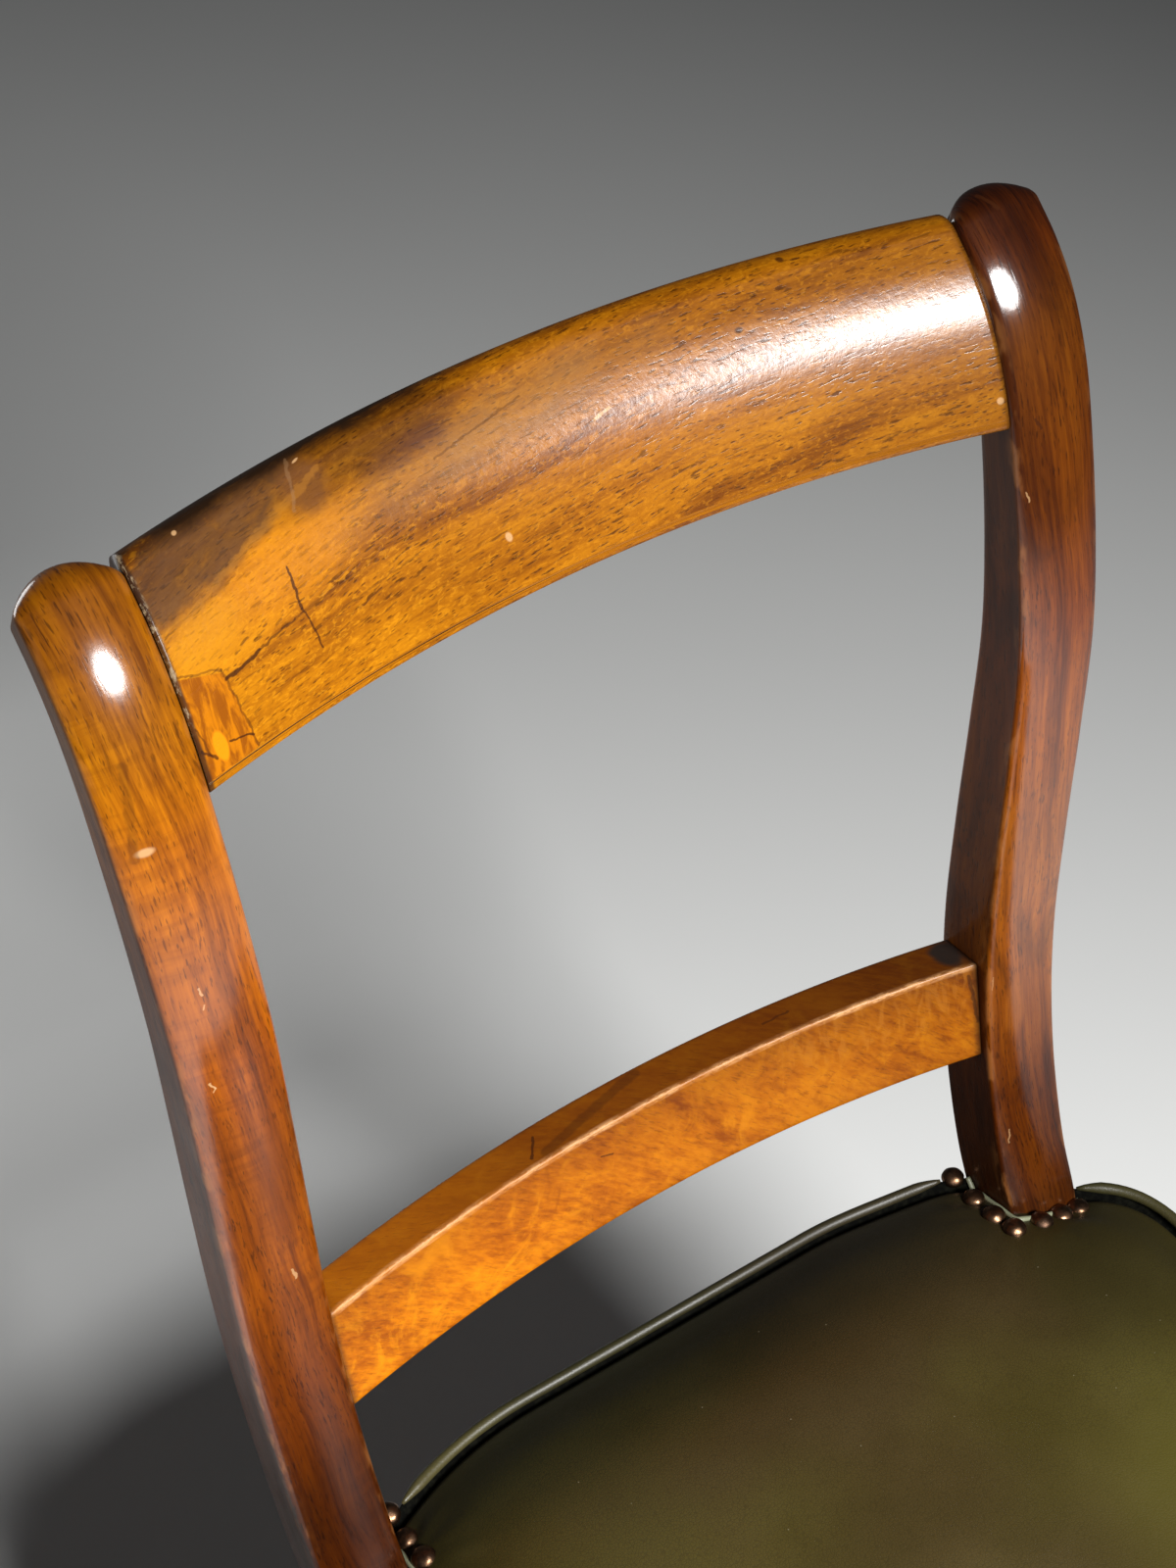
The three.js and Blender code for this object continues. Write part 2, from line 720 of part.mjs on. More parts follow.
// A sabre leg: its outer face stays upright, its front sweeps out to the toe, and its top is a
// square block between the rails, shaped to the frame's outline.
function frontLeg() {
  const steps = 14;
  const rings = [];
  const outlines = [];
  const front = frameFrontBow / 2 - frameDepth;
  const addRing = (y, z) => {
    const up = THREE.MathUtils.clamp(z / railBottom, 0, 1);
    const width = mix(legToeWidth, legTopSize, up ** legSwellPower);
    const depth = mix(legToeDepth, legTopSize, up ** legSwellPower);
    const outline = legSection(width, depth, mix(legEase, frameCorner, up ** legCornerPower));
    outlines.push(outline);
    rings.push(outline.map((p) => new THREE.Vector3(frameFrontHalf - p.x, front + y + p.y, z)));
  };
  for (let i = 0; i <= steps; i += 1) {
    const at = toeLine.getPointAt(i / steps);
    addRing(at.y, at.z);
  }
  addRing(0, railTop);
  const leg = solidOf(loft(rings, outlines[0], outlines[outlines.length - 1]));
  const top = railClip(0, frameFrontSpan, -2 * frameDepth, 0);
  const shaped = leg.intersect(top).intersect(prism(frameRing, railBottom, railTop));
  const floor = block(
    new THREE.Vector3(frameFrontSpan * 2, frameDepth * 4, seatLine),
    new THREE.Vector3(0, 0, -seatLine / 2),
  );
  const below = block(
    new THREE.Vector3(frameFrontSpan * 2, frameDepth * 4, railBottom + cutOverrun),
    new THREE.Vector3(0, 0, (railBottom - cutOverrun) / 2),
  );
  return leg.intersect(below).add(shaped).subtract(floor);
}

// Corner blocks and screws

// A block across a corner of the frame, between the inner faces of two rails. Front corners
// run one way and rear corners the other.
function cornerBlock(atFront) {
  const turn = atFront ? 1 : -1;
  const rail = atFront ? frameInnerFront : frameInnerRear;
  const faceY = rail + turn * gap;
  const cornerX = sideInner(rail);
  const slope = (sideInnerFront - sideInnerRear) / frameInnerFront;
  const sidePoint = (reach) => {
    const run = (reach - gap) / (1 - turn * slope);
    const y = faceY + turn * run;
    return new THREE.Vector2(sideInner(y) - gap, y);
  };
  const near = blockReach;
  const far = blockReach + blockWidth * Math.SQRT2;
  const outline = [
    new THREE.Vector2(cornerX - near, faceY),
    new THREE.Vector2(cornerX - far, faceY),
    sidePoint(far),
    sidePoint(near),
  ];
  return {
    solid: prism(outline, railMiddle - blockHeight / 2, railMiddle + blockHeight / 2),
    face: outline[1].clone().add(outline[2]).divideScalar(2),
    aim: new THREE.Vector2(1, -turn).normalize(),
  };
}

// A countersunk screw that points along aim, with its head sunk in the block's inner face.
function blockScrew({ face, aim }, spare) {
  const profile = [
    [0, -spare], [screwHeadRadius + spare, -spare], [screwHeadRadius + spare, 0],
    [screwShankRadius + spare, screwHeadHeight],
    [screwShankRadius + spare, screwLength - screwPoint + spare], [0, screwLength + spare],
  ].map(([r, h]) => new THREE.Vector2(r, h));
  const geometry = new THREE.LatheGeometry(profile, 10);
  const seat = new THREE.Vector3(face.x, face.y, railMiddle);
  const way = new THREE.Vector3(aim.x, aim.y, 0);
  const turn = new THREE.Quaternion().setFromUnitVectors(new THREE.Vector3(0, 1, 0), way);
  geometry.applyQuaternion(turn);
  seat.addScaledVector(way, gap);
  geometry.translate(seat.x, seat.y, seat.z);
  return solidOf(geometry);
}

// Webbing

// A strap laid from rail to rail. It rises and dips by turns where it crosses the others.
function strap(start, end, crossings, firstSign) {
  const stations = 30;
  const level = railTop + gap + webThickness / 2;
  const along = end.clone().sub(start);
  const length = along.length();
  along.normalize();
  const side = new THREE.Vector2(-along.y, along.x).multiplyScalar(webWidth / 2);
  const rings = [];
  for (let i = 0; i <= stations; i += 1) {
    const run = (i / stations) * length;
    const wave = Math.cos((Math.PI * (run - crossings)) / webPitch) * firstSign * webCrispness;
    const edge = Math.min(run, length - run) - webLanding;
    const hold = THREE.MathUtils.smoothstep(edge, 0, webLanding);
    const z = level + webWeave * THREE.MathUtils.clamp(wave, -1, 1) * hold;
    const at = start.clone().addScaledVector(along, run);
    rings.push([[-1, -1], [1, -1], [1, 1], [-1, 1]].map(([u, v]) => {
      return new THREE.Vector3(at.x + side.x * u, at.y + side.y * u, z + (v * webThickness) / 2);
    }));
  }
  const flat = [[-1, -1], [1, -1], [1, 1], [-1, 1]].map(([u, v]) => {
    return new THREE.Vector2((u * webWidth) / 2, (v * webThickness) / 2);
  });
  return solidOf(loft(rings, flat));
}

const webMiddle = (frameInnerFront + frameInnerRear) / 2;
const webColumns = [-1, 0, 1];

function webbing() {
  const straps = [];
  webColumns.forEach((column, i) => {
    const x = column * webPitch;
    const start = new THREE.Vector2(x, frameInnerFront - webLanding);
    const end = new THREE.Vector2(x, frameInnerRear + webLanding);
    const first = webMiddle - webPitch - start.y;
    straps.push(meshOf(`web_strap_long_${i + 1}`, strap(start, end, first, (-1) ** i), "webbing"));
  });
  webColumns.forEach((row, j) => {
    const y = webMiddle + row * webPitch;
    const half = sideInner(y) + webLanding;
    const start = new THREE.Vector2(-half, y);
    const end = new THREE.Vector2(half, y);
    const first = half - webPitch;
    straps.push(meshOf(`web_strap_cross_${j + 1}`, strap(start, end, first, -((-1) ** j)), "webbing"));
  });
  return straps;
}

const hessianLow = railTop + 2 * gap + webThickness + webWeave;
const hessianHigh = hessianLow + clothThickness;

// Build

const postScribe = postSolid(44, 2, gap);
const postCutter = postSolid(40, 2, seatRoom);
const seatCut = mirroredPair(postCutter);

function rearPost() {
  const floor = block(
    new THREE.Vector3(2 * postSpan, 4 * postSpan, seatLine),
    new THREE.Vector3(0, 0, -seatLine / 2),
  );
  return postSolid(44, 5)
    .subtract(floor)
    .subtract(crestTenon(gap))
    .subtract(midTenon(gap))
    .subtract(rearRailTenon(gap))
    .subtract(sideRearTenon(gap));
}

const frontBlock = cornerBlock(true);
const rearBlock = cornerBlock(false);

// Dome nails

// Places of the nails round one post, and the way each leans off it: up its inner side and
// across its front.
function nailPlaces() {
  const frontY = -(nailRadius + postCrownSeat + nailFrontRoom);
  const innerX = postInner - nailStandOff;
  const cornerX = postInner - nailCornerOff;
  const beside = [3, 2, 1].map((n) => new THREE.Vector2(innerX, frontY + n * nailPitch));
  const across = [0, 1, 2, 3].map((n) => new THREE.Vector2(cornerX + n * nailPitch, frontY));
  return [...beside, ...across];
}

// A dome head on a shank, standing up from the origin.
function nailGeometry() {
  const steps = 4;
  const profile = [new THREE.Vector2(0, -nailShankLength)];
  profile.push(new THREE.Vector2(nailShankRadius, -nailShankLength));
  profile.push(new THREE.Vector2(nailShankRadius, 0));
  for (let i = 0; i < steps; i += 1) {
    const turn = (i / steps) * (Math.PI / 2);
    profile.push(new THREE.Vector2(nailRadius * Math.cos(turn), nailDome * Math.sin(turn)));
  }
  profile.push(new THREE.Vector2(0, nailDome));
  const geometry = new THREE.LatheGeometry(profile, 10);
  geometry.rotateX(Math.PI / 2);
  return geometry;
}

// What cuts a nail's hole, long enough to pass through the leather and all its stuffing.
function shankHole() {
  const radius = nailShankRadius + nailHoleClearance;
  const reach = seatEdgeRise + seatCrownRise;
  const geometry = new THREE.CylinderGeometry(radius, radius, 2 * reach, 5);
  geometry.rotateX(Math.PI / 2);
  return geometry;
}

// Height and slope of the leather under a place in plan.
function leatherAt(place, surface) {
  const ray = new THREE.Raycaster(
    new THREE.Vector3(place.x, place.y, 2 * seatLine),
    new THREE.Vector3(0, 0, -1),
  );
  const hit = ray.intersectObject(surface)[0];
  return { at: hit.point, normal: hit.face.normal.clone() };
}

function placed(geometry, { at, normal }, lift) {
  const turn = new THREE.Quaternion().setFromUnitVectors(new THREE.Vector3(0, 0, 1), normal);
  const base = at.clone().addScaledVector(normal, lift);
  return solidOf(geometry.clone().applyQuaternion(turn).translate(base.x, base.y, base.z));
}

const wholeSeat = seatForm(0, railBottom + leatherHem);
const seatSurface = meshOf("surface", wholeSeat, "leather");
seatSurface.updateMatrixWorld();
const nailSeats = nailPlaces().map((place) => leatherAt(place, seatSurface));
const nailHoles = nailSeats.map((seat) => placed(shankHole(), seat, 0));
const allHoles = nailHoles.reduce((sum, hole) => sum.add(hole));
const nailCut = mirroredPair(allHoles);

function leatherCover() {
  const inside = seatForm(leatherThickness, railBottom - cutOverrun);
  return wholeSeat.subtract(inside).subtract(seatCut).subtract(nailCut);
}

function seatPad() {
  const bottom = railTop - padSkirt;
  const form = seatForm(leatherThickness + padClearance, bottom);
  const hollow = prism(
    seatRing(0, gap).map((p) => p.clone()), bottom - cutOverrun, hessianHigh + gap,
  );
  return form.subtract(hollow).subtract(seatCut).subtract(nailCut);
}

function hessian() {
  return prism(seatRing(0, -clothInset), hessianLow, hessianHigh).subtract(seatCut);
}

function dustCover() {
  const low = railBottom - gap - clothThickness;
  return prism(seatRing(0, -dustInset), low, railBottom - gap).subtract(seatCut).subtract(legCutter());
}

// The front legs with room round them, for what is cut to fit past them.
function legCutter() {
  const size = legTopSize + 2 * dustInset;
  const right = railClip(
    frameFrontHalf - size, frameFrontHalf + cutOverrun, -frameDepth - cutOverrun, size - frameDepth,
  );
  const lowered = right.translate([0, 0, -railHeight / 2]);
  return mirroredPair(lowered);
}

// Welt

// A welt along part of the seat's edge, through these points of the seat's outline.
function welt(first, last) {
  const reach = weltRadius + gap;
  const ring = seatRing(1, reach * weltOutShare);
  const points = [];
  for (let i = first; i <= last; i += 1) {
    const p = ring[(i + ring.length) % ring.length];
    points.push(new THREE.Vector3(p.x, p.y, seatBulgeHeight + reach * weltUpShare));
  }
  const curve = new THREE.CatmullRomCurve3(points, false, "centripetal");
  const sides = 6;
  const round = Array.from({ length: sides }, (_, i) => {
    const turn = (i / sides) * 2 * Math.PI;
    return new THREE.Vector2(weltRadius * Math.cos(turn), weltRadius * Math.sin(turn));
  });
  const steps = 2 * (last - first);
  const rings = [];
  for (let i = 0; i <= steps; i += 1) {
    const at = curve.getPoint(i / steps);
    const along = curve.getTangent(i / steps);
    rings.push(round.map((p) => {
      return new THREE.Vector3(at.x + along.y * p.x, at.y - along.x * p.x, at.z + p.y);
    }));
  }
  return solidOf(loft(rings, round));
}

// The seat's outline starts at the middle of the back and runs round by the right, so the rear
// piece of the welt crosses that start and the main piece runs round the front.
const weltRearSteps = 3;
const weltSkippedSteps = 8;

const chair = new THREE.Group();
const post = rearPost()
  .subtract(blockScrew(rearBlock, screwClearance));
chair.add(...pair("rear_post", post, "post"));
chair.add(meshOf(
  "crest_rail",
  bowedRail(crestOutline(), crestBow).add(mirroredPair(crestTenon(0))),
  "crest",
));
chair.add(meshOf(
  "mid_rail",
  bowedRail(midRailOutline(), midRailBow).add(mirroredPair(midTenon(0))),
  "midRail",
));
chair.add(meshOf("rear_seat_rail", rearRail(), "frame"));
chair.add(meshOf("front_seat_rail", frontRail(), "frame"));
chair.add(...pair("side_seat_rail", sideRail(), "frame"));
const leg = frontLeg()
  .subtract(frontRailTenon(gap))
  .subtract(sideFrontTenon(gap))
  .subtract(blockScrew(frontBlock, screwClearance));
chair.add(...pair("front_leg", leg, "post"));
[["front", frontBlock], ["rear", rearBlock]].forEach(([corner, made]) => {
  const solid = made.solid.subtract(blockScrew(made, screwClearance));
  chair.add(...pair(`corner_block_${corner}`, solid, "frame"));
  chair.add(...pair(`block_screw_${corner}`, blockScrew(made, 0), "steel"));
});
chair.add(...webbing());
chair.add(meshOf("hessian", hessian(), "cloth"));
chair.add(meshOf("seat_pad", seatPad(), "stuffing"));
chair.add(meshOf("leather_cover", leatherCover(), "leather"));
chair.add(meshOf("rear_welt", welt(-weltRearSteps, weltRearSteps), "leather"));
const weltEnd = frameRing.length - weltSkippedSteps;
chair.add(meshOf("seat_welt", welt(weltSkippedSteps, weltEnd), "leather"));
chair.add(meshOf("dust_cover", dustCover(), "dustCloth"));
nailSeats.forEach((seat, i) => {
  chair.add(...pair(`dome_nail_${i + 1}`, placed(nailGeometry(), seat, nailBedding), "brass"));
});

const box = new THREE.Box3().setFromObject(chair);
chair.position.y = -(box.min.y + box.max.y) / 2;

export default chair;
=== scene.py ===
"""Klismos side chair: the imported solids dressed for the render. Metres, +Z up, the chair faces -Y."""

import json
import math
import random

import bpy
import numpy as np
from mathutils import Matrix, Vector, noise
from mathutils.bvhtree import BVHTree
from mathutils.kdtree import KDTree

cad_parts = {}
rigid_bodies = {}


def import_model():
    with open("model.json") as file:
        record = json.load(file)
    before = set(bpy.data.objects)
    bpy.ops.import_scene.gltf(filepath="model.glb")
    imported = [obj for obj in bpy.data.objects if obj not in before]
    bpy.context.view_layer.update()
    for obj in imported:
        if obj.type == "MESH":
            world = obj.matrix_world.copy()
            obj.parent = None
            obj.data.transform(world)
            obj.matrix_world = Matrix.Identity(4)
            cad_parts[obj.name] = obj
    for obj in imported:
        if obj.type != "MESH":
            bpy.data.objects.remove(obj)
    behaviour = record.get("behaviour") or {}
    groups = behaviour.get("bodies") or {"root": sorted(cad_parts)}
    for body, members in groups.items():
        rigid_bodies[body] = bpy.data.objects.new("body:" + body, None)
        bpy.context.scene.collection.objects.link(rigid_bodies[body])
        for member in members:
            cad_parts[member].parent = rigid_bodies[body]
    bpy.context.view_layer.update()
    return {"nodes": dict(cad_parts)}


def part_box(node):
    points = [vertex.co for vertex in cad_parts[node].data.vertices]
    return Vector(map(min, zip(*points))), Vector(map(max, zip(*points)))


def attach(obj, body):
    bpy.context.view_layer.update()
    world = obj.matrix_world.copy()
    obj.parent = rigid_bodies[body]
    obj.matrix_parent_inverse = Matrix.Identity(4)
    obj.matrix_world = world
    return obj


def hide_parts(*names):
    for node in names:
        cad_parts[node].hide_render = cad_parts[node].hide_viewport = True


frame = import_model()
nodes_in = frame["nodes"]

MM = 0.001

# The posts' front line, as in the solids: Y back and Z up from the seat, in millimetres
SEAT_LINE = 438.0
BACK_RISE = 449.0
BACK_SWEEP = 106.0
LEG_SWEEP = 82.0
POST_SPAN = 364.0
POST_WIDTH = 34.0
POST_FOOT_WIDTH = 27.0
POST_DEPTH_SEAT = 33.0
POST_DEPTH_TOP = 19.0
POST_DEPTH_FOOT = 26.0
POST_CROWN_SEAT = 2.0
POST_CROWN_TOP = 2.4
POST_NOSE_LENGTH = 12.0
CROWN_POWER = 2.0
NOSE_FALL = 5.5
RAIL_TOP = 416.0
RAIL_BOTTOM = 354.0
BACK_LINE = [
    (0, 0), (0.1, 0.048), (0.226, 0.134), (0.316, 0.223), (0.373, 0.316), (0.402, 0.434),
    (0.421, 0.557), (0.448, 0.668), (0.509, 0.753), (0.594, 0.835), (0.684, 0.902),
    (0.792, 0.951), (0.896, 0.98), (1, 1),
]
LEG_LINE = [
    (1.12, -1.045), (1, -1), (0.659, -0.868), (0.341, -0.719), (0.098, -0.559), (-0.073, -0.411),
    (-0.159, -0.274), (-0.171, -0.171), (-0.134, -0.091), (-0.07, -0.036),
]
CREST_FOOT = 391.0
CREST_SET_BACK = 1.8
CREST_THICKNESS = 20.0
CREST_TIP_THICKNESS = 17.0
CREST_BOW = 20.4
MID_RISE = 130.0
MID_SET_BACK = 7.5
MID_HEIGHT = 50.0
MID_THICKNESS = 20.0
MID_TILT = 0.22
MID_BOW = 15.6
GAP = 0.3
POST_OUTER = POST_SPAN / 2
POST_INNER = POST_OUTER - POST_WIDTH
POST_MIDDLE = POST_OUTER - POST_WIDTH / 2
POST_STATIONS = 280
POST_EASE = 2.4
# The loft starts this far over the floor, under it comes the sole
SOLE_HEIGHT = 4.0
NOSE_STEPS = 12
# How much of a quarter turn the rounded top is carried through
NOSE_SHARE = 0.97

# The solids are centred over their footprint; the rear rail's outer face tells by how much
REAR_RAIL_FACE = 20.0
shift_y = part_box("rear_seat_rail")[1][1] / MM - REAR_RAIL_FACE


def catmull(points, per_piece=60):
    """Dense points along a centripetal Catmull-Rom curve."""
    pts = np.array(points, float)
    ext = np.vstack([2 * pts[0] - pts[1], pts, 2 * pts[-1] - pts[-2]])
    out = []
    for i in range(len(pts) - 1):
        p0, p1, p2, p3 = ext[i:i + 4]
        d0, d1, d2 = (max(np.linalg.norm(b - a), 1e-9) ** 0.5 for a, b in ((p0, p1), (p1, p2), (p2, p3)))
        t1 = ((p1 - p0) / d0 - (p2 - p0) / (d0 + d1) + (p2 - p1) / d1) * d1
        t2 = ((p2 - p1) / d1 - (p3 - p1) / (d1 + d2) + (p3 - p2) / d2) * d1
        for t in np.arange(per_piece) / per_piece:
            out.append(p1 + t1 * t + (3 * (p2 - p1) - 2 * t1 - t2) * t * t
                       + (2 * (p1 - p2) + t1 + t2) * t ** 3)
    out.append(pts[-1])
    return np.array(out)


def resample(line, count):
    """Evenly spaced points along a polyline, their unit tangents and their distances."""
    steps = np.linalg.norm(np.diff(line, axis=0), axis=1)
    run = np.concatenate([[0], np.cumsum(steps)])
    at = np.linspace(0, run[-1], count)
    pts = np.stack([np.interp(at, run, line[:, k]) for k in range(line.shape[1])], 1)
    tan = np.gradient(pts, axis=0)
    return pts, tan / np.linalg.norm(tan, axis=1)[:, None], at


post_line = catmull(
    [(y * LEG_SWEEP, z * SEAT_LINE) for y, z in LEG_LINE]
    + [(y * BACK_SWEEP, z * BACK_RISE) for y, z in BACK_LINE]
)


def smooth01(x):
    x = np.clip(x, 0, 1)
    return x * x * (3 - 2 * x)


def post_sizes(rise):
    """Width, depth and crown of a post at a height over the seat."""
    up = min(max(rise / BACK_RISE, 0), 1)
    down = min(max((RAIL_BOTTOM - SEAT_LINE - rise) / RAIL_BOTTOM, 0), 1)
    depth = POST_DEPTH_SEAT + (POST_DEPTH_TOP - POST_DEPTH_SEAT) * up ** 1.5
    if rise <= 0:
        depth = POST_DEPTH_SEAT + (POST_DEPTH_FOOT - POST_DEPTH_SEAT) * down
    width = POST_WIDTH + (POST_FOOT_WIDTH - POST_WIDTH) * down
    crown = (POST_CROWN_SEAT + (POST_CROWN_TOP - POST_CROWN_SEAT) * up ** 2) * (1 - down)
    return width, depth, crown


def post_ring(width, depth, crown, ease=POST_EASE, back_ease=POST_EASE):
    """Section of a post, across and inwards: crowned front, rounded corners, flat back."""
    half = width / 2
    ease = min(ease, depth / 2.4)
    back_ease = min(back_ease, depth / 2.4)
    pts = []
    for u in np.linspace(-1, 1, 13):
        pts.append((u * (half - ease), -crown * (1 - abs(u) ** CROWN_POWER)))
    slope = CROWN_POWER * crown / max(half - ease, 1)
    start = math.atan(slope)
    for t in np.linspace(0, 1, 5)[1:]:
        a = start + (math.pi / 2 - start) * t
        pts.append((half - ease + ease * math.sin(a), ease - ease * math.cos(a)))
    for t in np.linspace(0, 1, 7)[1:-1]:
        pts.append((half, ease + (depth - ease - back_ease) * t))
    for t in np.linspace(0, 1, 5):
        a = math.pi / 2 * t
        pts.append((half - back_ease + back_ease * math.cos(a), depth - back_ease + back_ease * math.sin(a)))
    right = pts[13:]
    for t in np.linspace(1, -1, 9)[1:-1]:
        pts.append((t * (half - back_ease), depth))
    pts += [(-x, y) for x, y in reversed(right)]
    return np.array(pts)


def loft(rings, close_start=True, close_end=True):
    """Vertices and faces of a closed surface through rings of as many points each."""
    count = len(rings[0])
    verts = np.concatenate(rings)
    faces = []
    for i in range(len(rings) - 1):
        for j in range(count):
            k = (j + 1) % count
            faces.append((i * count + j, i * count + k, (i + 1) * count + k, (i + 1) * count + j))
    if close_start:
        faces.append(tuple(reversed(range(count))))
    if close_end:
        faces.append(tuple((len(rings) - 1) * count + j for j in range(count)))
    return verts, faces


def mesh_object(name, verts, faces):
    """A new object whose faces look outwards. Vertices come in millimetres."""
    mesh = bpy.data.meshes.new(name)
    mesh.from_pydata([tuple(v) for v in np.asarray(verts) * MM], [], faces)
    mesh.update()
    if sum(poly.center.dot(poly.normal) * poly.area for poly in mesh.polygons) < 0:
        mesh.flip_normals()
    obj = bpy.data.objects.new(name, mesh)
    bpy.context.scene.collection.objects.link(obj)
    return obj


def add_piece(name, verts, faces, material, replaced=(), grain=None, extra=None):
    """A smooth piece that rides the chair's body, with its grain coordinates and masks."""
    obj = mesh_object(name, verts, faces)
    mesh = obj.data
    mesh.polygons.foreach_set("use_smooth", [True] * len(mesh.polygons))
    if grain is not None:
        layer = mesh.attributes.new("grain", "FLOAT_VECTOR", "POINT")
        layer.data.foreach_set("vector", (np.asarray(grain) * MM).astype(np.float32).ravel())
    for key, values in (extra or {}).items():
        layer = mesh.attributes.new(key, "FLOAT", "POINT")
        layer.data.foreach_set("value", np.asarray(values, np.float32).ravel())
    mesh.materials.append(material)
    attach(obj, "root")
    if replaced:
        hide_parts(*replaced)
    return obj


# Materials


class Field:
    """A node's output in a material's tree, with plain arithmetic."""

    def __init__(self, tree, socket):
        self.tree, self.socket = tree, socket

    def __add__(self, other):
        return calc("ADD", self, other)

    def __sub__(self, other):
        return calc("SUBTRACT", self, other)

    def __rsub__(self, other):
        return calc("SUBTRACT", other, self)

    def __mul__(self, other):
        return calc("MULTIPLY", self, other)


def tree_of(name):
    """A new material, its tree and its shader."""
    material = bpy.data.materials.new(name)
    material.use_nodes = True
    tree = material.node_tree
    tree.nodes.clear()
    out = tree.nodes.new("ShaderNodeOutputMaterial")
    shader = tree.nodes.new("ShaderNodeBsdfPrincipled")
    tree.links.new(shader.outputs["BSDF"], out.inputs["Surface"])
    return material, tree, shader


def put(socket, value):
    """Sets a socket to a value or links it to a field."""
    if isinstance(value, Field):
        value.tree.links.new(value.socket, socket)
    elif isinstance(value, tuple) and socket.type == "RGBA" and len(value) == 3:
        socket.default_value = (*value, 1.0)
    else:
        socket.default_value = value


def add_node(kind, output, inputs, tree=None, **settings):
    """Adds a node, sets or links its inputs, and returns one of its outputs."""
    tree = tree or next(value.tree for value in inputs.values() if isinstance(value, Field))
    node = tree.nodes.new("ShaderNode" + kind)
    for key, value in settings.items():
        setattr(node, key, value)
    for key, value in inputs.items():
        put(node.inputs[key], value)
    return Field(tree, node.outputs[output])


def calc(op, a, b=0.0, clamp=False):
    return add_node("Math", 0, {0: a, 1: b}, operation=op, use_clamp=clamp)


def ramp(value, low, high, to_low=0.0, to_high=1.0):
    """A value mapped smoothly from one range to another."""
    inputs = {"Value": value, "From Min": low, "From Max": high, "To Min": to_low, "To Max": to_high}
    return add_node("MapRange", "Result", inputs, interpolation_type="SMOOTHSTEP")


def mix(factor, a, b, mode="MIX"):
    return add_node("Mix", 2, {0: factor, 6: a, 7: b}, data_type="RGBA", blend_type=mode, clamp_factor=True)


def stretched(coords, scale, offset=(0, 0, 0)):
    return add_node("Mapping", "Vector", {"Vector": coords, "Scale": scale, "Location": offset})


def shaken(coords, noise_colour, reach):
    """Coordinates moved about by a noise."""
    return add_node("VectorMath", 0, {0: noise_colour, 1: reach, 2: coords}, operation="MULTIPLY_ADD")


def noise_at(coords, scale, detail=4.0, rough=0.5, warp=0.0, colour=False):
    """Noise whose scale is one number, or three for stretched noise."""
    if isinstance(scale, tuple):
        coords, scale = stretched(coords, scale), 1.0
    inputs = {"Vector": coords, "Scale": scale, "Detail": detail, "Roughness": rough, "Distortion": warp}
    return add_node("TexNoise", "Color" if colour else "Fac", inputs)


def attribute(tree, name, vector=True):
    return add_node("Attribute", "Vector" if vector else "Fac", {}, tree, attribute_name=name)


def object_coords(tree):
    return add_node("TexCoord", "Object", {}, tree)


def bump(height, strength, distance):
    return add_node("Bump", "Normal", {"Strength": strength, "Distance": distance, "Height": height})


def split(vector):
    x = add_node("SeparateXYZ", 0, {0: vector})
    return [Field(x.tree, output) for output in x.socket.node.outputs]


def spot(grain, centre, size, soft=0.35, turn=0.0, wobble=0.0):
    """A mask round a place in grain coordinates, in millimetres: 1 inside, 0 outside."""
    x, y, _ = split(grain)
    dx, dy = x - centre[0] * MM, y - centre[1] * MM
    long, short = size[0] * MM, size[1] * MM
    c, s = math.cos(turn), math.sin(turn)
    u = dx * (c / long) + dy * (s / long)
    v = dx * (-s / short) + dy * (c / short)
    r = calc("SQRT", u * u + v * v)
    if wobble:
        r = r + (noise_at(grain, 60.0, 3.0) - 0.5) * wobble
    return ramp(r, 1.0 - soft, 1.0 + soft, 1.0, 0.0)


def stroke(grain, a, b, width, wobble=0.6):
    """A mask along a thin line between two places in grain coordinates, in millimetres."""
    ax, ay, bx, by, width, wobble = (value * MM for value in (*a, *b, width, wobble))
    x, y, _ = split(grain)
    length = math.hypot(bx - ax, by - ay)
    c, s = (bx - ax) / length, (by - ay) / length
    dx = x - (ax + bx) / 2
    dy = y - (ay + by) / 2
    along = dx * c + dy * s
    shake = noise_at(grain, 260.0, 3.0) - 0.5
    across = dy * c - dx * s + shake * (wobble * 4)
    over = calc("MAXIMUM", calc("ABSOLUTE", along) - length / 2, 0.0)
    away = calc("SQRT", over * over + across * across)
    return ramp(away, width * 0.35, width * 0.75, 1.0, 0.0)


def stops(value, tints):
    """A colour that follows a value through (value, colour) stops."""
    low, high = tints[0][0], tints[-1][0]
    colour = add_node("ValToRGB", "Color", {0: calc("DIVIDE", value - low, high - low, clamp=True)})
    elements = colour.socket.node.color_ramp.elements
    elements[0].position, elements[1].position = 0.0, 1.0
    for at, _ in tints[1:-1]:
        elements.new((at - low) / (high - low))
    for element, (_, tint) in zip(elements, tints):
        element.color = (*tint, 1.0)
    return colour


def tinted(colour, value, tints):
    """A colour multiplied by tints that follow a value."""
    return mix(1.0, colour, stops(value, tints), "MULTIPLY")


def side_mask(tree):
    """1 on faces that look straight to the left or right."""
    x, _, _ = split(add_node("NewGeometry", "Normal", {}, tree))
    return ramp(calc("ABSOLUTE", x), 0.8, 0.98)


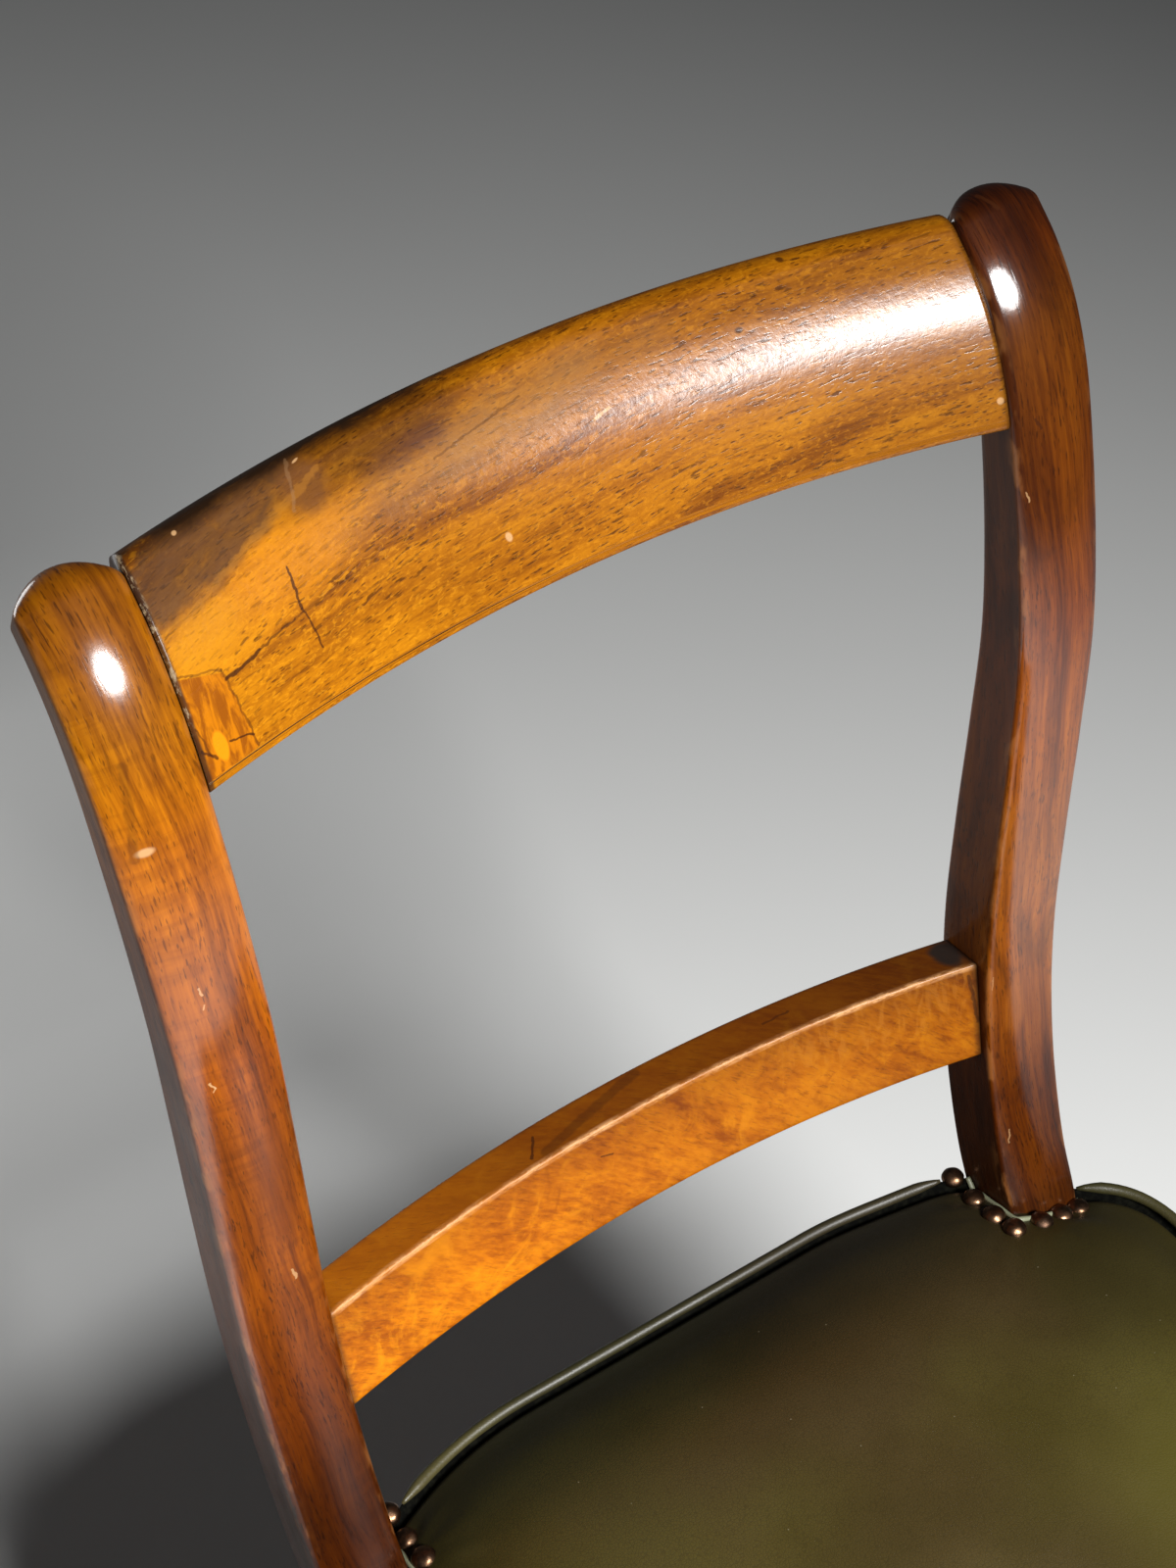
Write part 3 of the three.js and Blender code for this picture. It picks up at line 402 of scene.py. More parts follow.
def wood_colour(grain, light, mid, dark, streak=(5, 130, 90), bands=(2.5, 34, 26), slant=0.0,
                pore=(150, 1000, 800), pore_share=0.6, weights=(0.55, 0.3, 0.15)):
    """Colour and height of polished figured wood. Grain X runs along the fibres, in metres."""
    if slant:
        grain = add_node("VectorRotate", 0, {"Vector": grain, "Angle": slant}, rotation_type="Z_AXIS")
    warped = shaken(grain, noise_at(grain, (9, 14, 14), 2.0, 0.5, colour=True), (0.02, 0.012, 0.012))
    broad = noise_at(warped, bands, 4.0, 0.55)
    fine = noise_at(warped, streak, 5.0, 0.62)
    hair_scale = (streak[0] * 6, streak[1] * 4, streak[2] * 4)
    hair = noise_at(warped, hair_scale, 3.0, 0.6)
    tone = broad * weights[0] + fine * weights[1] + hair * weights[2]
    colour = mix(ramp(tone, 0.38, 0.53), dark, mid)
    colour = mix(ramp(tone, 0.48, 0.63), colour, light)
    dash = noise_at(warped, pore, 2.0, 0.5)
    patchy = ramp(noise_at(warped, (20, 60, 60), 3.0, 0.5), 0.35, 0.6, 0.35, 1.0)
    pores = ramp(dash, 0.56, 0.68) * patchy
    colour = mix(pores * pore_share, colour, tuple(c * 0.3 for c in dark))
    return colour, pores, warped


def finish_wood(shader, colour, pores, warped, rough, coat, coat_rough, relief, ripple=0.12):
    """Sets the shader for aged polish over wood."""
    smear = noise_at(warped, (14, 30, 30), 4.0, 0.6)
    put(shader.inputs["Base Color"], colour)
    put(shader.inputs["Roughness"], ramp(smear, 0.3, 0.7, *rough))
    put(shader.inputs["Coat Weight"], coat)
    shader.inputs["Coat Roughness"].default_value = coat_rough
    shader.inputs["Coat IOR"].default_value = 1.6
    shader.inputs["IOR"].default_value = 1.45
    shader.inputs["Specular IOR Level"].default_value = 0.06
    grit = noise_at(object_coords(warped.tree), 420.0, 3.0, 0.6)
    put(shader.inputs["Normal"], bump(grit * 0.35 - pores * 0.8, relief, 0.0004))
    put(shader.inputs["Coat Normal"], bump(grit - pores * 0.4, ripple, 0.0003))


def flecks(grain, scale, threshold, seed=0.0):
    """Scattered short marks along the grain."""
    cells = stretched(grain, scale, (seed, seed * 1.7, seed * 0.3))
    distance = add_node("TexVoronoi", "Distance", {"Vector": cells, "Scale": 1.0})
    return ramp(distance, threshold * 0.5, threshold, 1.0, 0.0)


def post_material(name, woods, tints, seed, blotches=0.45, figure=0.0, slant=0.05, marks=(), coat_rough=0.14):
    """Post wood: woods are its light, mid and dark colours, tints follow its run up from the floor."""
    material, tree, shader = tree_of(name)
    grain = attribute(tree, "grain")
    shifted = stretched(grain, (1, 1, 1), (seed, seed * 0.37, 0))
    light, mid, dark = woods
    colour, pores, warped = wood_colour(shifted, light, mid, dark, (5, 190, 120), (3.0, 56, 40), slant,
                                        (160, 1300, 1000), 0.65, (0.36, 0.38, 0.26))
    if figure:
        cross = noise_at(shifted, (150, 18, 18), 4.0, 0.55, 0.9)
        where = ramp(noise_at(shifted, (9, 30, 30), 2.0), 0.4, 0.6)
        colour = mix(ramp(cross, 0.42, 0.66, 0.0, figure) * where, colour, dark)
    blotch = noise_at(shifted, (13, 34, 34), 5.0, 0.62, 0.8)
    colour = mix(ramp(blotch, 0.52, 0.68, 0.0, blotches), colour, tuple(c * 0.5 for c in dark))
    colour = mix(flecks(shifted, (110, 620, 400), 0.15, seed) * 0.55, colour, (0.03, 0.008, 0.001))
    run, _, _ = split(grain)
    colour = tinted(colour, run, tints)
    # painted shade: the faces that look straight left or right are darkened
    sides = side_mask(tree)
    colour = mix(sides * 0.55, colour, (0.02, 0.008, 0.003))
    for kind, centre, size, tint, amount in marks:
        if kind == "spot":
            mask = spot(grain, centre, size, wobble=0.9)
        else:
            mask = stroke(grain, centre, size[:2], size[2])
        colour = mix(mask * amount, colour, tint)
    worn = attribute(tree, "wear", False) * ramp(noise_at(shifted, (60, 200, 200), 4.0), 0.47, 0.62)
    colour = mix(worn * 0.3, colour, (0.60, 0.24, 0.07))
    colour = mix(attribute(tree, "grime", False) * 0.8, colour, (0.012, 0.005, 0.002))
    gloss = ramp(run, 0.50, 0.66, 0.2, 0.72) * ramp(sides, 0.0, 1.0, 1.0, 0.45)
    finish_wood(shader, colour, pores, warped, (0.45, 0.6), gloss, coat_rough, 0.3, 0.06)
    return material


PALE_CHIP = (0.66, 0.38, 0.17)
FILLER = (0.36, 0.26, 0.15)
SPLIT = (0.05, 0.012, 0.002)


def crest_material():
    material, tree, shader = tree_of("crest_veneer")
    grain = attribute(tree, "grain")
    x, y, _ = split(grain)
    light, mid, dark = (0.56, 0.205, 0.002), (0.42, 0.137, 0.001), (0.20, 0.054, 0.001)
    colour, pores, warped = wood_colour(grain, light, mid, dark, (14, 170, 120), (7, 50, 36), -0.10,
                                        (200, 1000, 800), 0.8, (0.42, 0.36, 0.22))
    curl = noise_at(warped, (320, 620, 500), 3.0, 0.55, 1.2)
    colour = mix(ramp(curl, 0.52, 0.68, 0.0, 0.4), colour, (0.74, 0.29, 0.006))
    colour = mix(ramp(curl, 0.46, 0.32, 0.0, 0.35), colour, dark)
    colour = mix(flecks(warped, (170, 700, 500), 0.22) * 0.75, colour, (0.09, 0.022, 0.001))
    colour = tinted(colour, x, [
        (-0.148, (0.96, 0.96, 1)), (-0.09, (1, 1, 1)), (-0.05, (0.84, 0.82, 1)), (0.02, (0.84, 0.80, 1)),
        (0.08, (0.78, 0.76, 1)), (0.148, (0.62, 0.60, 1)),
    ])
    # the figure changes over the left third: an orange flame, a yellow corner and a dark cloudy zone above
    cloud = noise_at(warped, (45, 70, 60), 5.0, 0.6, 1.4)
    broken = ramp(cloud, 0.34, 0.66, 1.0, 0.62)

    def lay(mask, tint, amount, patchy=True, mode="MIX"):
        nonlocal colour
        if patchy:
            mask = mask * broken
        colour = mix(mask * amount, colour, tint, mode)

    lay(spot(grain, (-98, 47), (24, 13), 0.5, 0.2, 0.6), (0.66, 0.225, 0.002), 0.6)
    lay(spot(grain, (-134, 38), (13, 9), 0.45, 0.1, 0.8), (0.58, 0.225, 0.005), 0.65)
    lay(spot(grain, (-20, 52), (50, 10), 0.7, 0.1, 0.8), (0.30, 0.14, 0.045), 0.7)
    lay(spot(grain, (-62, 63), (36, 10.5), 0.4, 0.05, 0.9), (0.36, 0.34, 0.9), 1.2, True, "MULTIPLY")
    lay(spot(grain, (-121, 66), (34, 15), 0.22, 0.28, 0.9), (0.28, 0.27, 0.9), 1.3, True, "MULTIPLY")
    lay(spot(grain, (-121, 66), (34, 15), 0.22, 0.28, 0.9), (0.15, 0.070, 0.032), 0.45)
    # partly painted shade: a dark band along the top of the left part, where the rail rolls over away from the lamp
    lay(spot(grain, (-98, 80), (85, 10.5), 0.4, 0.03, 0.9), (0.026, 0.011, 0.004), 1.4)
    lay(spot(grain, (-86, 61.5), (7.5, 8.5), 0.4, 0.4, 0.6), (0.16, 0.060, 0.018), 0.6)
    lay(stroke(grain, (-137, 46), (-80, 63.5), 2.2, 1.2), (0.50, 0.20, 0.02), 0.3)
    lay(stroke(grain, (-92, 56), (-87.5, 71), 1, 0.8), (0.30, 0.16, 0.07), 0.35)
    # a let-in piece of veneer at the lower left, its grain across, with an orange plug
    inside = ramp(x + y * 0.15, -0.1284, -0.1280, 1.0, 0.0) * ramp(y + x * 0.42, -0.0290, -0.0285, 1.0, 0.0)
    across = noise_at(stretched(grain, (420, 90, 90), (3, 1, 0)), 1.0, 4.0, 0.6, 0.6)
    piece = mix(ramp(across, 0.38, 0.62), (0.27, 0.070, 0.001), (0.52, 0.160, 0.001))
    colour = mix(inside, colour, piece)
    for a, b, width, amount in (
        ((-132.5, 27.8), (-128.3, 0), 0.7, 0.55), ((-147, 33.5), (-132.5, 27.8), 0.7, 0.5),
        ((-101.5, 43), (-101.5, 30), 0.7, 0.85), ((-101.5, 30), (-98.8, 16), 0.6, 0.8),
        ((-105, 33), (-100, 32.5), 0.5, 0.5), ((-131.8, 24.3), (-119, 26.2), 1.2, 0.9),
        ((-119, 26.2), (-105, 28.5), 0.6, 0.7), ((-105, 28.5), (-80, 31), 0.8, 0.35),
        ((-137, 7.2), (-129, 4.8), 0.7, 0.85), ((-146.2, 17), (-144, 6), 0.6, 0.6),
        ((-146.6, 10), (-142.5, 5), 0.8, 0.8), ((-44, 50), (-10, 56), 0.7, 0.45),
        ((-90, 23), (-60, 26), 0.6, 0.4),
    ):
        lay(stroke(grain, a, b, width), SPLIT, amount, False)
    lay(spot(grain, (-140.3, 7.8), (2.3, 5.2), 0.18, 0.12, 0.25), (0.82, 0.25, 0.003), 0.95, False)
    for centre, size in (
        ((12.1, 41.4), (2.2, 0.6)), ((-29, 17.8), (1.1, 1.6)),
        ((15.5, 42.3), (1.4, 0.5)), ((145.5, 7.2), (1.2, 1.2)),
        ((-85, 69), (1.2, 0.4)), ((-129, 69), (0.8, 0.8)),
    ):
        lay(spot(grain, centre, size, 0.3, 0.3, 0.8), PALE_CHIP, 0.8, False)
    for centre, size in (
        ((66.7, 51.8), (1.4, 1)), ((90, 70.4), (1.2, 1.2)), ((94.5, 69), (1.8, 0.4)),
    ):
        lay(spot(grain, centre, size, 0.4, 0.0, 0.5), SPLIT, 0.85, False)
    # old filler in the left joint, broken by dark gaps
    near = ramp(x, -0.1468, -0.1455, 1.0, 0.0)
    lumps = ramp(noise_at(grain, (300, 130, 100), 5.0, 0.75), 0.50, 0.60)
    high = ramp(y, 0.014, 0.024) * ramp(y, 0.072, 0.080, 1.0, 0.0)
    colour = mix(near * 0.85, colour, (0.03, 0.012, 0.006))
    colour = mix(near * lumps * (high * 0.9), colour, FILLER)
    grime = attribute(tree, "grime", False) * ramp(x, 0.10, 0.14)
    colour = mix(grime * 0.85, colour, (0.02, 0.008, 0.004))
    # the polish is dull over the left half and along the top
    gloss = ramp(x, -0.07, 0.05, 0.22, 1.0) * ramp(y + x * 0.12, 0.052, 0.080, 1.0, 0.3)
    finish_wood(shader, colour, pores, warped, (0.5, 0.65), gloss, 0.24, 0.35, 0.22)
    return material


def mid_material():
    material, tree, shader = tree_of("mid_rail_wood")
    grain = attribute(tree, "grain")
    x, y, _ = split(grain)
    light, mid, dark = (0.86, 0.285, 0.002), (0.66, 0.190, 0.001), (0.38, 0.088, 0.001)
    colour, pores, warped = wood_colour(grain, light, mid, dark, (26, 120, 90), (14, 40, 30), -0.75,
                                        (220, 1000, 800), 0.3, (0.4, 0.3, 0.3))
    curl = noise_at(warped, (42, 36, 32), 5.0, 0.6, 2.0)
    colour = mix(ramp(curl, 0.48, 0.72, 0.0, 0.6), colour, (0.98, 0.36, 0.003))
    colour = mix(ramp(curl, 0.46, 0.26, 0.0, 0.6), colour, dark)
    ribbon = noise_at(stretched(grain, (240, 60, 60), (0, 4, 0)), 1.0, 2.0, 0.5, 1.0)
    right_part = ramp(x, 0.04, 0.08) * ramp(y, 0.030, 0.018)
    colour = mix(ramp(ribbon, 0.46, 0.66) * (right_part * 0.5), colour, (0.95, 0.36, 0.01))
    colour = tinted(colour, x, [
        (-0.148, (0.84, 0.80, 1)), (-0.07, (0.80, 0.74, 1)), (-0.02, (0.66, 0.60, 1)), (0.05, (0.58, 0.53, 1)),
        (0.148, (0.46, 0.42, 1)),
    ])
    colour = tinted(colour, y, [
        (0.0, (0.66, 0.64, 1)), (0.012, (0.80, 0.78, 1)), (0.030, (1, 1, 1)), (0.050, (0.97, 0.97, 1)),
    ])
    for a, b, width in (
        ((-90, 50), (-77, 48), 0.7), ((-23, 13), (-18, 15), 0.8),
        ((144, 4), (147, 30), 1.4),
    ):
        colour = mix(stroke(grain, a, b, width) * 0.7, colour, SPLIT)
    top = attribute(tree, "top", False)
    colour = mix(top * 0.8, colour, stops(x, [
        (-0.148, (0.30, 0.080, 0.001)), (-0.05, (0.13, 0.031, 0.001)), (0.05, (0.09, 0.020, 0.001)),
        (0.148, (0.04, 0.009, 0.001)),
    ]))
    for a, b, width, amount in (
        ((-50, 133), (-44, 124), 1, 0.85), ((-44, 134), (5, 121), 4, 0.45),
        ((60, 127), (72, 126), 1, 0.7),
    ):
        colour = mix(stroke(grain, a, b, width) * top * amount, colour, SPLIT)
    nick = ramp(noise_at(grain, (130, 400, 400), 4.0, 0.7), 0.42, 0.60, 0.22, 0.9)
    colour = mix(attribute(tree, "wear", False) * nick, colour, (0.80, 0.44, 0.19))
    colour = mix(attribute(tree, "grime", False) * 0.9, colour, (0.015, 0.007, 0.004))
    dirt = spot(grain, (142.5, 127), (5.5, 8), 0.3, 0.3, 1.6)
    colour = mix(dirt * top * 0.95, colour, (0.016, 0.012, 0.010))
    finish_wood(shader, colour, pores, warped, (0.45, 0.6), 0.4, 0.25, 0.35, 0.12)
    return material


STOCK = (0.50, 0.34, 0.17), (0.40, 0.25, 0.12), (0.26, 0.15, 0.07)


def plain_wood(name, turn=(0, 0, 0)):
    """Unpolished stock on a carried-over solid, its fibres along X after the turn."""
    material, tree, shader = tree_of(name)
    coords = add_node("Mapping", "Vector", {"Vector": object_coords(tree), "Rotation": turn})
    colour, pores, warped = wood_colour(coords, *STOCK, (5, 130, 130), (2.5, 30, 30))
    finish_wood(shader, colour, pores, warped, (0.6, 0.8), 0.0, 0.3, 0.5)
    return material


def leather_material(name, pale=0.0):
    material, tree, shader = tree_of(name)
    coords = object_coords(tree)
    warped = shaken(coords, noise_at(coords, 240.0, 2.0, 0.5, colour=True), (0.0022, 0.0022, 0.0022))
    pebble = add_node("TexVoronoi", "Distance", {"Vector": warped, "Scale": 780.0}, feature="DISTANCE_TO_EDGE")
    crease = ramp(pebble, 0.0, 0.16)
    cloud = noise_at(coords, 9.0, 4.0, 0.55)
    warmth = noise_at(stretched(coords, (5, 5, 5), (3, 1, 0)), 1.0, 3.0, 0.5)
    green, brown, deep = (0.066, 0.053, 0.006), (0.062, 0.041, 0.009), (0.018, 0.013, 0.003)
    colour = mix(ramp(warmth, 0.38, 0.62), green, brown)
    colour = mix(ramp(cloud, 0.35, 0.65, 0.45, 0.0), colour, deep)
    colour = mix((1.0 - crease) * 0.35, colour, deep)
    place = split(coords)
    if not pale:
        # painted shade: darker towards the back and the rear corners, where the top falls away; yellower to the right
        back = place[1] + (cloud - 0.5) * 0.05
        colour = mix(ramp(place[0], 0.05, 0.14) * ramp(place[1], 0.06, 0.0), colour, (0.062, 0.052, 0.006))
        colour = tinted(colour, back, [
            (0.02, (1, 1, 1)), (0.06, (0.97, 0.97, 1)), (0.095, (0.80, 0.80, 0.9)), (0.12, (0.62, 0.62, 0.7)),
            (0.145, (0.36, 0.37, 0.4)), (0.18, (0.24, 0.26, 0.3)),
        ])
        corner = ramp(place[0], 0.10, 0.16) * ramp(place[1], 0.03, 0.09)
        colour = mix(corner * 0.55, colour, deep)
    colour = mix(flecks(coords, (90, 90, 90), 0.035) * 0.5, colour, (0.22, 0.19, 0.12))
    # a pale tint: the raw leather's own colour, and on the roll part wear and part painted sheen
    if pale:
        colour = mix(pale, colour, (0.26, 0.28, 0.18))
    # painted highlight and shade along the roll: brightest near the left end, darkened along the middle
    if 0 < pale < 0.5:
        shades = ((-0.20, 0.8), (-0.12, 1), (-0.07, 0.42), (0.08, 0.36), (0.2, 0.55))
        colour = tinted(colour, place[0], [(at, (shade,) * 3) for at, shade in shades])
    put(shader.inputs["Base Color"], colour)
    put(shader.inputs["Roughness"], ramp(cloud, 0.3, 0.7, 0.36, 0.5))
    shader.inputs["Coat Weight"].default_value = 0.14
    shader.inputs["Coat Roughness"].default_value = 0.35
    height = crease * 0.7 + noise_at(coords, 900.0, 3.0, 0.6) * 0.3
    put(shader.inputs["Normal"], bump(height, 0.22, 0.00025))
    return material


def groove_shadow_material():
    """Painted shadow for the sewn groove inside the roll: near black, with a faint dusty mottle."""
    material, tree, shader = tree_of("seam_groove")
    coords = object_coords(tree)
    dust = noise_at(coords, 300.0, 4.0, 0.6)
    colour = mix(ramp(dust, 0.4, 0.7), (0.0015, 0.0015, 0.0012), (0.006, 0.006, 0.004))
    put(shader.inputs["Base Color"], colour)
    put(shader.inputs["Roughness"], ramp(dust, 0.3, 0.7, 0.85, 1.0))
    shader.inputs["Specular IOR Level"].default_value = 0.03
    put(shader.inputs["Normal"], bump(dust, 0.3, 0.0003))
    return material


def cloth_material(name, light, dark, pitch):
    """Plain weave: two crossed thread waves, with slubs."""
    material, tree, shader = tree_of(name)
    coords = object_coords(tree)
    inputs = {"Vector": coords, "Scale": 0.314 / pitch, "Distortion": 0.6, "Detail": 2.0}
    warp, weft = (add_node("TexWave", "Fac", inputs, bands_direction=axis) for axis in "XY")
    weave = warp * weft
    slub = noise_at(coords, (60, 400, 60), 3.0, 0.6)
    tone = weave * ramp(slub, 0.3, 0.7, 0.6, 1.2)
    put(shader.inputs["Base Color"], mix(tone, dark, light))
    shader.inputs["Roughness"].default_value = 0.95
    shader.inputs["Sheen Weight"].default_value = 0.2
    put(shader.inputs["Normal"], bump(weave, 0.7, 0.0005))
    return material


def metal_material(name, light, dark, rough):
    material, tree, shader = tree_of(name)
    coords = object_coords(tree)
    tarnish = noise_at(coords, 260.0, 5.0, 0.65)
    put(shader.inputs["Base Color"], mix(ramp(tarnish, 0.36, 0.66), dark, light))
    shader.inputs["Metallic"].default_value = 1.0
    put(shader.inputs["Roughness"], ramp(tarnish, 0.3, 0.7, rough + 0.14, rough))
    put(shader.inputs["Normal"], bump(noise_at(coords, 900.0, 4.0, 0.6), 0.3, 0.0003))
    return material


post_right_wood = post_material(
    "post_wood_right", ((0.36, 0.112, 0.004), (0.25, 0.066, 0.002), (0.11, 0.024, 0.0008)),
    [(0.50, (0.28, 0.22, 0.2)), (0.545, (0.34, 0.25, 0.2)), (0.575, (0.60, 0.50, 0.4)), (0.63, (1, 0.9, 0.8)),
     (0.685, (0.88, 0.8, 0.8)), (0.74, (0.92, 0.76, 0.6)), (0.795, (0.67, 0.48, 0.4)), (0.84, (0.55, 0.46, 0.3)),
     (0.912, (0.46, 0.42, 0.3)), (0.935, (0.35, 0.25, 0.2)), (0.955, (0.14, 0.09, 0.1))],
    0.0, 0.5, 0.0, 0.05, [
        ("stroke", (957, -5), (950, -2, 1.2), SPLIT, 0.9),
        ("stroke", (880, -9), (876, -7.5, 0.9), SPLIT, 0.8),
        ("stroke", (854, -14), (850, -13, 0.4), PALE_CHIP, 0.45),
        ("stroke", (612, -14.6), (605, -15, 0.5), PALE_CHIP, 0.3),
        ("stroke", (525, -11), (518, -12, 0.5), PALE_CHIP, 0.35),
        ("spot", (590, -5), (15, 4.5), (0.30, 0.085, 0.006), 0.4),
    ], 0.125,
)
post_left_wood = post_material(
    "post_wood_left", ((0.88, 0.270, 0.002), (0.64, 0.176, 0.001), (0.28, 0.064, 0.0006)),
    [(0.52, (0.06, 0.04, 0.04)), (0.546, (0.09, 0.06, 0.05)), (0.603, (0.21, 0.14, 0.1)), (0.665, (0.38, 0.29, 0.2)),
     (0.726, (0.32, 0.24, 0.2)), (0.78, (0.43, 0.32, 0.3)), (0.822, (0.50, 0.42, 0.4)), (0.866, (0.66, 0.64, 0.9)),
     (0.904, (0.60, 0.68, 0.8)), (0.935, (0.42, 0.44, 0.4)), (0.955, (0.36, 0.38, 0.3))],
    0.7, 0.35, 0.4, 0.05, [
        ("spot", (871.6, -7.7), (1.5, 3), PALE_CHIP, 0.8),
        ("stroke", (818, -4.2), (815, -3.8, 0.6), PALE_CHIP, 0.6),
        ("stroke", (811, -4), (809.5, -4.6, 0.5), PALE_CHIP, 0.55),
        ("stroke", (778.5, -8.4), (775.5, -7.4, 0.6), PALE_CHIP, 0.75),
        ("stroke", (775.5, -7.4), (774, -7.9, 0.5), PALE_CHIP, 0.65),
        ("stroke", (665, 5.2), (659, 6.2, 0.9), PALE_CHIP, 0.6),
        ("stroke", (900, -6), (870, -11, 2.4), SPLIT, 0.35),
        ("stroke", (850, 4), (790, 1, 3), (0.16, 0.035, 0.001), 0.35),
        ("spot", (710, 6), (30, 5), (0.16, 0.032, 0.001), 0.5),
    ], 0.16,
)
leg_wood = post_material(
    "leg_wood", ((0.42, 0.11, 0.004), (0.29, 0.068, 0.002), (0.13, 0.026, 0.001)),
    [(0.0, (0.8, 0.8, 0.8)), (0.1, (1, 1, 1)), (0.5, (1, 1, 1))], 1.9, 0.4, 0.15,
)
crest_wood = crest_material()
mid_wood = mid_material()
rail_wood = plain_wood("rail_wood")
side_wood = plain_wood("side_rail_wood", (0, 0, math.pi / 2))
leather = leather_material("seat_leather")
leather_edge = leather_material("leather_edge", 0.07)
raw_leather = leather_material("raw_leather", 0.7)
groove_shadow = groove_shadow_material()
bronze = metal_material("aged_bronze", (0.24, 0.13, 0.070), (0.060, 0.034, 0.022), 0.3)
steel = metal_material("steel", (0.42, 0.42, 0.43), (0.2, 0.2, 0.2), 0.35)
jute = cloth_material("jute_webbing", (0.45, 0.33, 0.17), (0.16, 0.11, 0.05), 0.0022)
hessian_cloth = cloth_material("hessian_cloth", (0.38, 0.28, 0.15), (0.12, 0.085, 0.045), 0.0016)
black_cloth = cloth_material("black_cotton", (0.035, 0.034, 0.033), (0.010, 0.010, 0.010), 0.0007)


# Posts


def build_post(side, material):
    line, tan, run = resample(post_line, POST_STATIONS)
    keep = line[:, 1] > SOLE_HEIGHT - SEAT_LINE
    line, tan, run = line[keep], tan[keep], run[keep]
    rings, grains, wears, grimes = [], [], [], []

    def add(at, along, sizes, run_at, lift=0.0, sink=0.0):
        """One section at a point of the line: lift goes on along the line, sink goes inwards."""
        up = min(max(at[1] / BACK_RISE, 0), 1)
        section = post_ring(*sizes, POST_EASE + 1.2 * up ** 2, POST_EASE + 3.6 * up ** 2)
        inward = np.array([along[1], -along[0]])
        base = at + along * lift + inward * sink
        ring = np.empty((len(section), 3))
        ring[:, 0] = side * POST_MIDDLE + section[:, 0]
        ring[:, 1:] = base + section[:, 1:] * inward
        if lift:
            # the top rolls over with its crown, so it falls away to both sides
            fall = lift / POST_NOSE_LENGTH * NOSE_FALL * np.minimum(1, np.abs(section[:, 0]) / sizes[0] * 2) ** 2.2
            fall *= 1 + 0.7 * np.clip(section[:, 1] / max(sizes[1], 1), 0, 1)
            ring[:, 1:] -= fall[:, None] * along
        rings.append(ring)
        grains.append(np.stack([np.full(len(section), run_at + lift), section[:, 0], section[:, 1]], 1))
        edge = np.abs(section[:, 0]) - sizes[0] / 2
        wears.append(np.exp(-(edge / 1.6) ** 2) * np.exp(-(section[:, 1] / 3.2) ** 2))
        # dust in the corner over the seat
        grimes.append(np.exp(-(((at[1] - 1) / 10.0) ** 2)) * 0.5 * (section[:, 1] < 2))

    for at, along, run_at in zip(line, tan, run):
        add(at, along, post_sizes(at[1]), run_at)
    # the sole is the first section, slid along the leg to the floor
    sole = rings[0]
    sole[:, 1] += (-SEAT_LINE - sole[:, 2]) / tan[0][1] * tan[0][0]
    sole[:, 2] = -SEAT_LINE
    width, depth, crown = post_sizes(line[-1][1])
    for i in range(1, NOSE_STEPS + 1):
        turn = i / NOSE_STEPS * NOSE_SHARE * math.pi / 2
        left = math.cos(turn)
        sizes = (width - depth * (1 - left) / 2, depth * left, crown * left)
        add(line[-1], tan[-1], sizes, run[-1], POST_NOSE_LENGTH * math.sin(turn), depth * (1 - left) / 2)
    verts, faces = loft(rings)
    verts[:, 1:] += (shift_y, SEAT_LINE)
    name = "right" if side > 0 else "left"
    masks = {"wear": np.concatenate(wears), "grime": np.concatenate(grimes)}
    return add_piece(f"post_{name}", verts, faces, material, [f"rear_post_{name}"],
                     np.concatenate(grains), masks)


# Crest rail and mid rail


def line_at(rise):
    """The front line's point and tangent at a rise over the seat."""
    up = post_line[post_line[:, 1] >= -1]
    tan = np.gradient(up, axis=0)
    tan /= np.linalg.norm(tan, axis=1)[:, None]
    at = np.array([np.interp(rise, up[:, 1], up[:, 0]), rise])
    along = np.array([np.interp(rise, up[:, 1], tan[:, k]) for k in (0, 1)])
    return at, along / np.linalg.norm(along)


CREST_EASE = 2.4
CREST_STEPS = 44
CREST_STATIONS = 200
MID_EASE = 0.9
MID_STATIONS = 190


def corner_arc(centre, first, second, radius, steps=6):
    """A quarter circle that starts at first and ends at second, both unit directions."""
    turns = np.linspace(0, math.pi / 2, steps)
    return [centre + (first * math.cos(a) + second * math.sin(a)) * radius for a in turns]


def crest_outline():
    """Section of the crest rail: it follows the posts' front line, and its top is rounded over."""
    front, back = [], []
    for share in np.arange(CREST_STEPS + 1) / CREST_STEPS:
        at, along = line_at(CREST_FOOT + (BACK_RISE - CREST_FOOT) * math.sin(share * math.pi / 2))
        inward = np.array([along[1], -along[0]])
        front.append(at + inward * CREST_SET_BACK)
        back.append(front[-1] + inward * (CREST_THICKNESS + (CREST_TIP_THICKNESS - CREST_THICKNESS) * share))
    middle = (front[-1] + back[-1]) / 2
    turns = np.arange(1, 14) / 14 * math.pi
    nose = [middle + (math.sin(a) * along - math.cos(a) * inward) * CREST_TIP_THICKNESS / 2 for a in turns]
    at, along = line_at(CREST_FOOT)
    inward = np.array([along[1], -along[0]])
    rise = along * CREST_EASE
    front_corner = front[0] + rise + inward * CREST_EASE
    back_corner = back[0] + rise - inward * CREST_EASE
    foot = corner_arc(back_corner, inward, -along, CREST_EASE)
    start = foot[-1]
    foot += [start + (front_corner - rise - start) * t for t in np.linspace(0, 1, 8)[1:-1]]
    foot += corner_arc(front_corner, -along, -inward, CREST_EASE)
    front = [p for p in front if (p - front[0] - rise) @ along > CREST_EASE * 0.2]
    back = [p for p in back[::-1] if (p - back[0] - rise) @ along > CREST_EASE * 0.2]
    return np.array(front + nose + back + foot)


